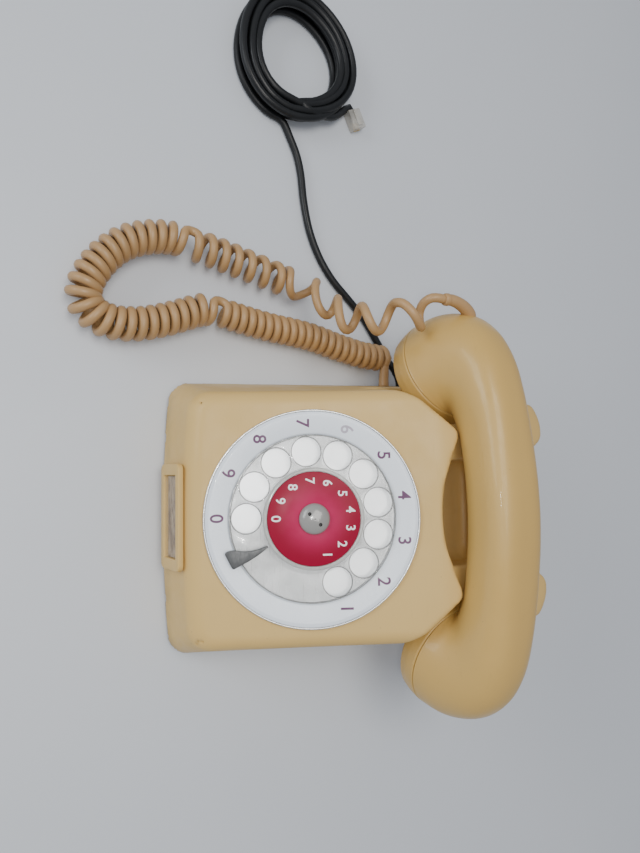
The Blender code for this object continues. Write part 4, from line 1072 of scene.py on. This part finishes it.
def digits(name, radius, size, thicker, height, finish, faded=None, faded_finish=None):
    """The dial's ten digits, all upright for the user, laid on a turned surface."""
    made = []
    for i, figure in enumerate("0987654321"):
        data = bpy.data.curves.new("figure", "FONT")
        data.body = figure
        data.size = size * MM
        data.offset = thicker * MM
        data.extrude = 0.05 * MM
        data.resolution_u = 6
        obj = shown("figure", data)
        mesh = evaluated_mesh(obj)
        bpy.data.objects.remove(obj, do_unlink=True)
        places = np.array([v.co for v in mesh.vertices]) / MM
        middle = (places[:, :2].min(0) + places[:, :2].max(0)) / 2
        places[:, :2] += np.array(finger_place(i, radius)) - middle
        places[:, 2] += height(np.hypot(places[:, 0], places[:, 1])) + 0.04
        for vertex, place in zip(mesh.vertices, places):
            vertex.co = Vector(place) * MM
        mesh.transform(DIAL)
        mesh.materials.clear()
        mesh.materials.append(MADE[faded_finish if figure == faded else finish])
        made.append(shown("figure", mesh))
    bpy.context.view_layer.update()
    return join(name, made)


def make_ring():
    """The fixed ring with its figures, and the bright bezel round it."""
    ring = turned("printed_ring", RING_SECTION, "number_ring", DIAL, 160, 0.35, 40)
    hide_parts("number_ring")
    bezel = turned("bright_bezel", BEZEL_SECTION, "bezel_steel", DIAL, 160, 0.3, 50)
    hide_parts("dial_bezel")
    printed = digits("ring_figures", RING_FIGURES, RING_FIGURE_SIZE, 0.12, ring_height, "ring_digits", "6",
                     "worn_digit")
    for piece in (ring, bezel, printed):
        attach(piece, "root")


def make_wheel():
    """All that turns with the finger wheel."""
    holes = [finger_place(i, HOLE_CIRCLE) for i in range(10)]
    outlines = [circle(WHEEL_RADIUS - WHEEL_EDGE, 144)]
    outlines += [circle(HOLE_RADIUS + WHEEL_EDGE, 56, hole) for hole in holes]
    outlines.append(circle(BORE + WHEEL_EDGE, 32))
    # Painted shade: the wheel's edge walls take the darker clear finish.
    wheel = flat_plate("clear_wheel", outlines, WHEEL_UNDER, WHEEL_TOP, WHEEL_EDGE, "clear_plastic", DIAL,
                       "clear_edge_shade")
    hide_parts("finger_wheel")
    # Painted shade: thin dark rings round the wheel's edge and round each finger hole.
    inner, outer = WHEEL_RADIUS - 0.75, WHEEL_RADIUS - 0.3
    wheel_section = [(inner, 3.3), (outer, 3.3), (outer, 3.7), (inner, 3.7)]
    rims = [turned("rim", wheel_section, "hole_rim_shade", DIAL, 160, 0.1)]
    hole_section = [(HOLE_RADIUS, 3.0), (HOLE_RADIUS + 0.5, 3.3), (HOLE_RADIUS + 0.5, 3.72),
                    (HOLE_RADIUS + 0.1, 3.72)]
    rims += [turned("rim", hole_section, "hole_rim_shade", DIAL @ moved(hole), 64, 0.1) for hole in holes]
    bpy.context.view_layer.update()
    rims = join("finger_hole_shade_rims", rims)
    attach(rims, "dial_wheel")
    band = turned("clear_band", BAND_SECTION, "clear_rim", DIAL, 120, 0.4)
    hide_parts("clamp_band")
    disc = turned("printed_disc", DISC_SECTION, "red_disc", DIAL, 120, 0.25, 40)
    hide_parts("centre_disc")
    figures = digits("disc_figures", DISC_FIGURES, DISC_FIGURE_SIZE, 0.10, disc_height, "disc_digits")
    dome = [(0, HUB_FOOT), (HUB_RADIUS, HUB_FOOT), (HUB_RADIUS, HUB_TOP)]
    for i in range(1, 11):
        across, rise = polar(1.0, radians(9 * i))
        dome.append((DOME_RADIUS * across, DOME_FOOT + DOME_RISE * rise))
    hub = turned("spanner_hub", dome, "grey_hub", DIAL, 96, 0.5)
    cut(hub, [drill(0.9, 6.0, 12, DIAL @ moved(polar(SPANNER_CIRCLE, radians(angle))), 20)
              for angle in (225, 45)])
    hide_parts("hub_cap")
    for piece in (wheel, band, disc, figures, hub):
        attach(piece, "dial_wheel")


def make_finger_stop():
    c, s = cos(STOP_ANGLE), sin(STOP_ANGLE)
    outline = [(r * c - w * s, r * s + w * c) for r, w in rounded(STOP_HORN, 0.9)]
    stop = flat_plate("stop_horn", [outline], 4.1, 5.5, 0.25, "stop_steel", DIAL)
    foot = block("stop_foot", (41.9, -4.4, 1.8), (45.3, 2.0, 4.3), "stop_steel", 0.3,
                 DIAL @ Matrix.Rotation(STOP_ANGLE, 4, "Z"))
    stop = join("stop_finger", [stop, foot])
    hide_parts("finger_stop")
    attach(stop, "root")


# --- handset ---
HANDSET_SIDES = 72
# From the lip of the cup round into the pocket for the capsule, as radius and height above the joint.
POCKET = [(29.88, 0.5), (29.55, 0.28), (25.4, 0.28), (22.9, 0.28), (22.4, 0.7), (22.4, 9.4), (0.05, 9.4)]
CAP_SECTION = [
    (0, -11.4), (18.0, -12.2), (24.0, -13.8), (27.6, -13.2), (29.4, -11.0), (30.15, -6.0), (30.2, -0.9),
    (29.7, -0.25), (25.0, -0.25), (25.0, -4.6), (19.0, -4.6), (19.0, -8.2), (0, -8.0)]


def handset_sections():
    """Sections from the right cup over the middle to the left cup, smooth between the stations."""
    mirrored = [(-x, y, z, -angle, high, wide, square)
                for x, y, z, angle, high, wide, square in reversed(HANDSET_STATIONS[:-1])]
    return through(HANDSET_STATIONS + mirrored, 7)[1:]


def section_ring(x, y, z, angle, high, wide, square):
    a = radians(angle)
    ring = []
    for i in range(HANDSET_SIDES):
        t = tau * i / HANDSET_SIDES
        c, s = cos(t), sin(t)
        reach = (abs(c) ** square + abs(s) ** square) ** (-1 / square)
        up, out = c * reach * high, s * reach * wide
        ring.append((x + sin(a) * up, y + out, z + cos(a) * up))
    return ring


def pocket_ring(side, radius, height):
    x, y, z = CUP_JOINT
    tilt = radians(CUP_TILT)
    x += height * sin(tilt)
    z += height * cos(tilt)
    return section_ring(side * x, y, z, side * (90 + CUP_TILT), radius, radius, 2.0)


def cap_holes():
    """Places of the sound holes in a cap: six near the middle, six further out and one in the middle."""
    places = []
    for i in range(13):
        a = tau * i / 6 + (pi / 6 if i > 6 else 0)
        places.append(polar(0.0 if i == 12 else (7.0 if i < 6 else 12.5), a))
    return places


def make_handset():
    rings = [pocket_ring(1, r, h) for r, h in reversed(POCKET)]
    rings += [section_ring(*row) for row in handset_sections()]
    rings += [pocket_ring(-1, r, h) for r, h in POCKET]
    points, faces = skin(rings)
    handle = mesh_piece("handset_shell", points, faces, "handset", sharp=60)
    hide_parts("handset_handle")
    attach(handle, "handset")
    for side, word in ((1, "ear"), (-1, "mouth")):
        x, y, z = CUP_JOINT
        cup = (Matrix.Translation(Vector((side * x, y, z)) * MM)
               @ Matrix.Rotation(side * radians(CUP_TILT), 4, "Y"))
        cap = turned(f"{word}_cover", CAP_SECTION, "handset", cup, 120, 0.5, 50)
        cut(cap, [drill(1.3, -17, -2, cup @ moved(place), 16) for place in cap_holes()])
        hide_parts(f"{word}_cap")
        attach(cap, "handset")


# --- floor, light ---
FLOOR_HALF = 9000.0


def make_stage():
    graph = Graph("table_white")
    tone = graph.mix(graph.noise(3.0, 3.0), (0.63, 0.665, 0.71), (0.69, 0.715, 0.75))
    graph.link(tone, graph.shader.inputs["Base Color"])
    graph.link(graph.ramp(graph.noise(14.0, 3.0), 0.3, 0.7, 0.45, 0.6), graph.shader.inputs["Roughness"])
    signs = ((-1, -1), (1, -1), (1, 1), (-1, 1))
    corners = [(x * FLOOR_HALF, y * FLOOR_HALF, 0) for x, y in signs]
    floor = mesh_piece("floor", corners, [(0, 1, 2, 3)], "table_white")


def lamp(name, place, target, size, power, colour):
    data = bpy.data.lights.new(name, "AREA")
    data.shape = "RECTANGLE"
    data.size, data.size_y = size
    data.energy = power
    data.color = colour
    obj = shown(name, data)
    obj.location = place
    obj.rotation_euler = (Vector(target) - Vector(place)).to_track_quat("-Z", "Y").to_euler()


def make_light():
    world = bpy.data.worlds.new("studio")
    bpy.context.scene.world = world
    world.use_nodes = True
    back = world.node_tree.nodes["Background"]
    back.inputs["Color"].default_value = (0.86, 0.90, 1.0, 1.0)
    back.inputs["Strength"].default_value = 0.42
    lamp("ceiling", (-0.25, -0.35, 1.5), (-0.05, -0.02, 0.0), (0.9, 0.7), 12.0, (1.0, 0.97, 0.92))
    lamp("window", (-0.5, -1.3, 0.6), (0.0, 0.0, 0.05), (0.9, 0.5), 8.0, (0.92, 0.96, 1.0))
    lamp("flash", (-0.01, -0.215, 0.36), (-0.02, 0.0, 0.05), (0.025, 0.025), 0.22, (1.0, 0.99, 0.97))


make_camera()
make_materials()
make_curly_cord()
make_line_cord()
make_housing()
make_label()
make_ring()
make_wheel()
make_finger_stop()
make_handset()
make_stage()
make_light()

# Every CAD part takes its finish from its slot in the record; only the film over the card is clearer.
for row in frame["record"]["subparts"]:
    part = frame["nodes"][row["node"]]
    part.data.materials.clear()
    part.data.materials.append(MADE["label_film" if row["node"] == "label_window" else row["material_slot"]])
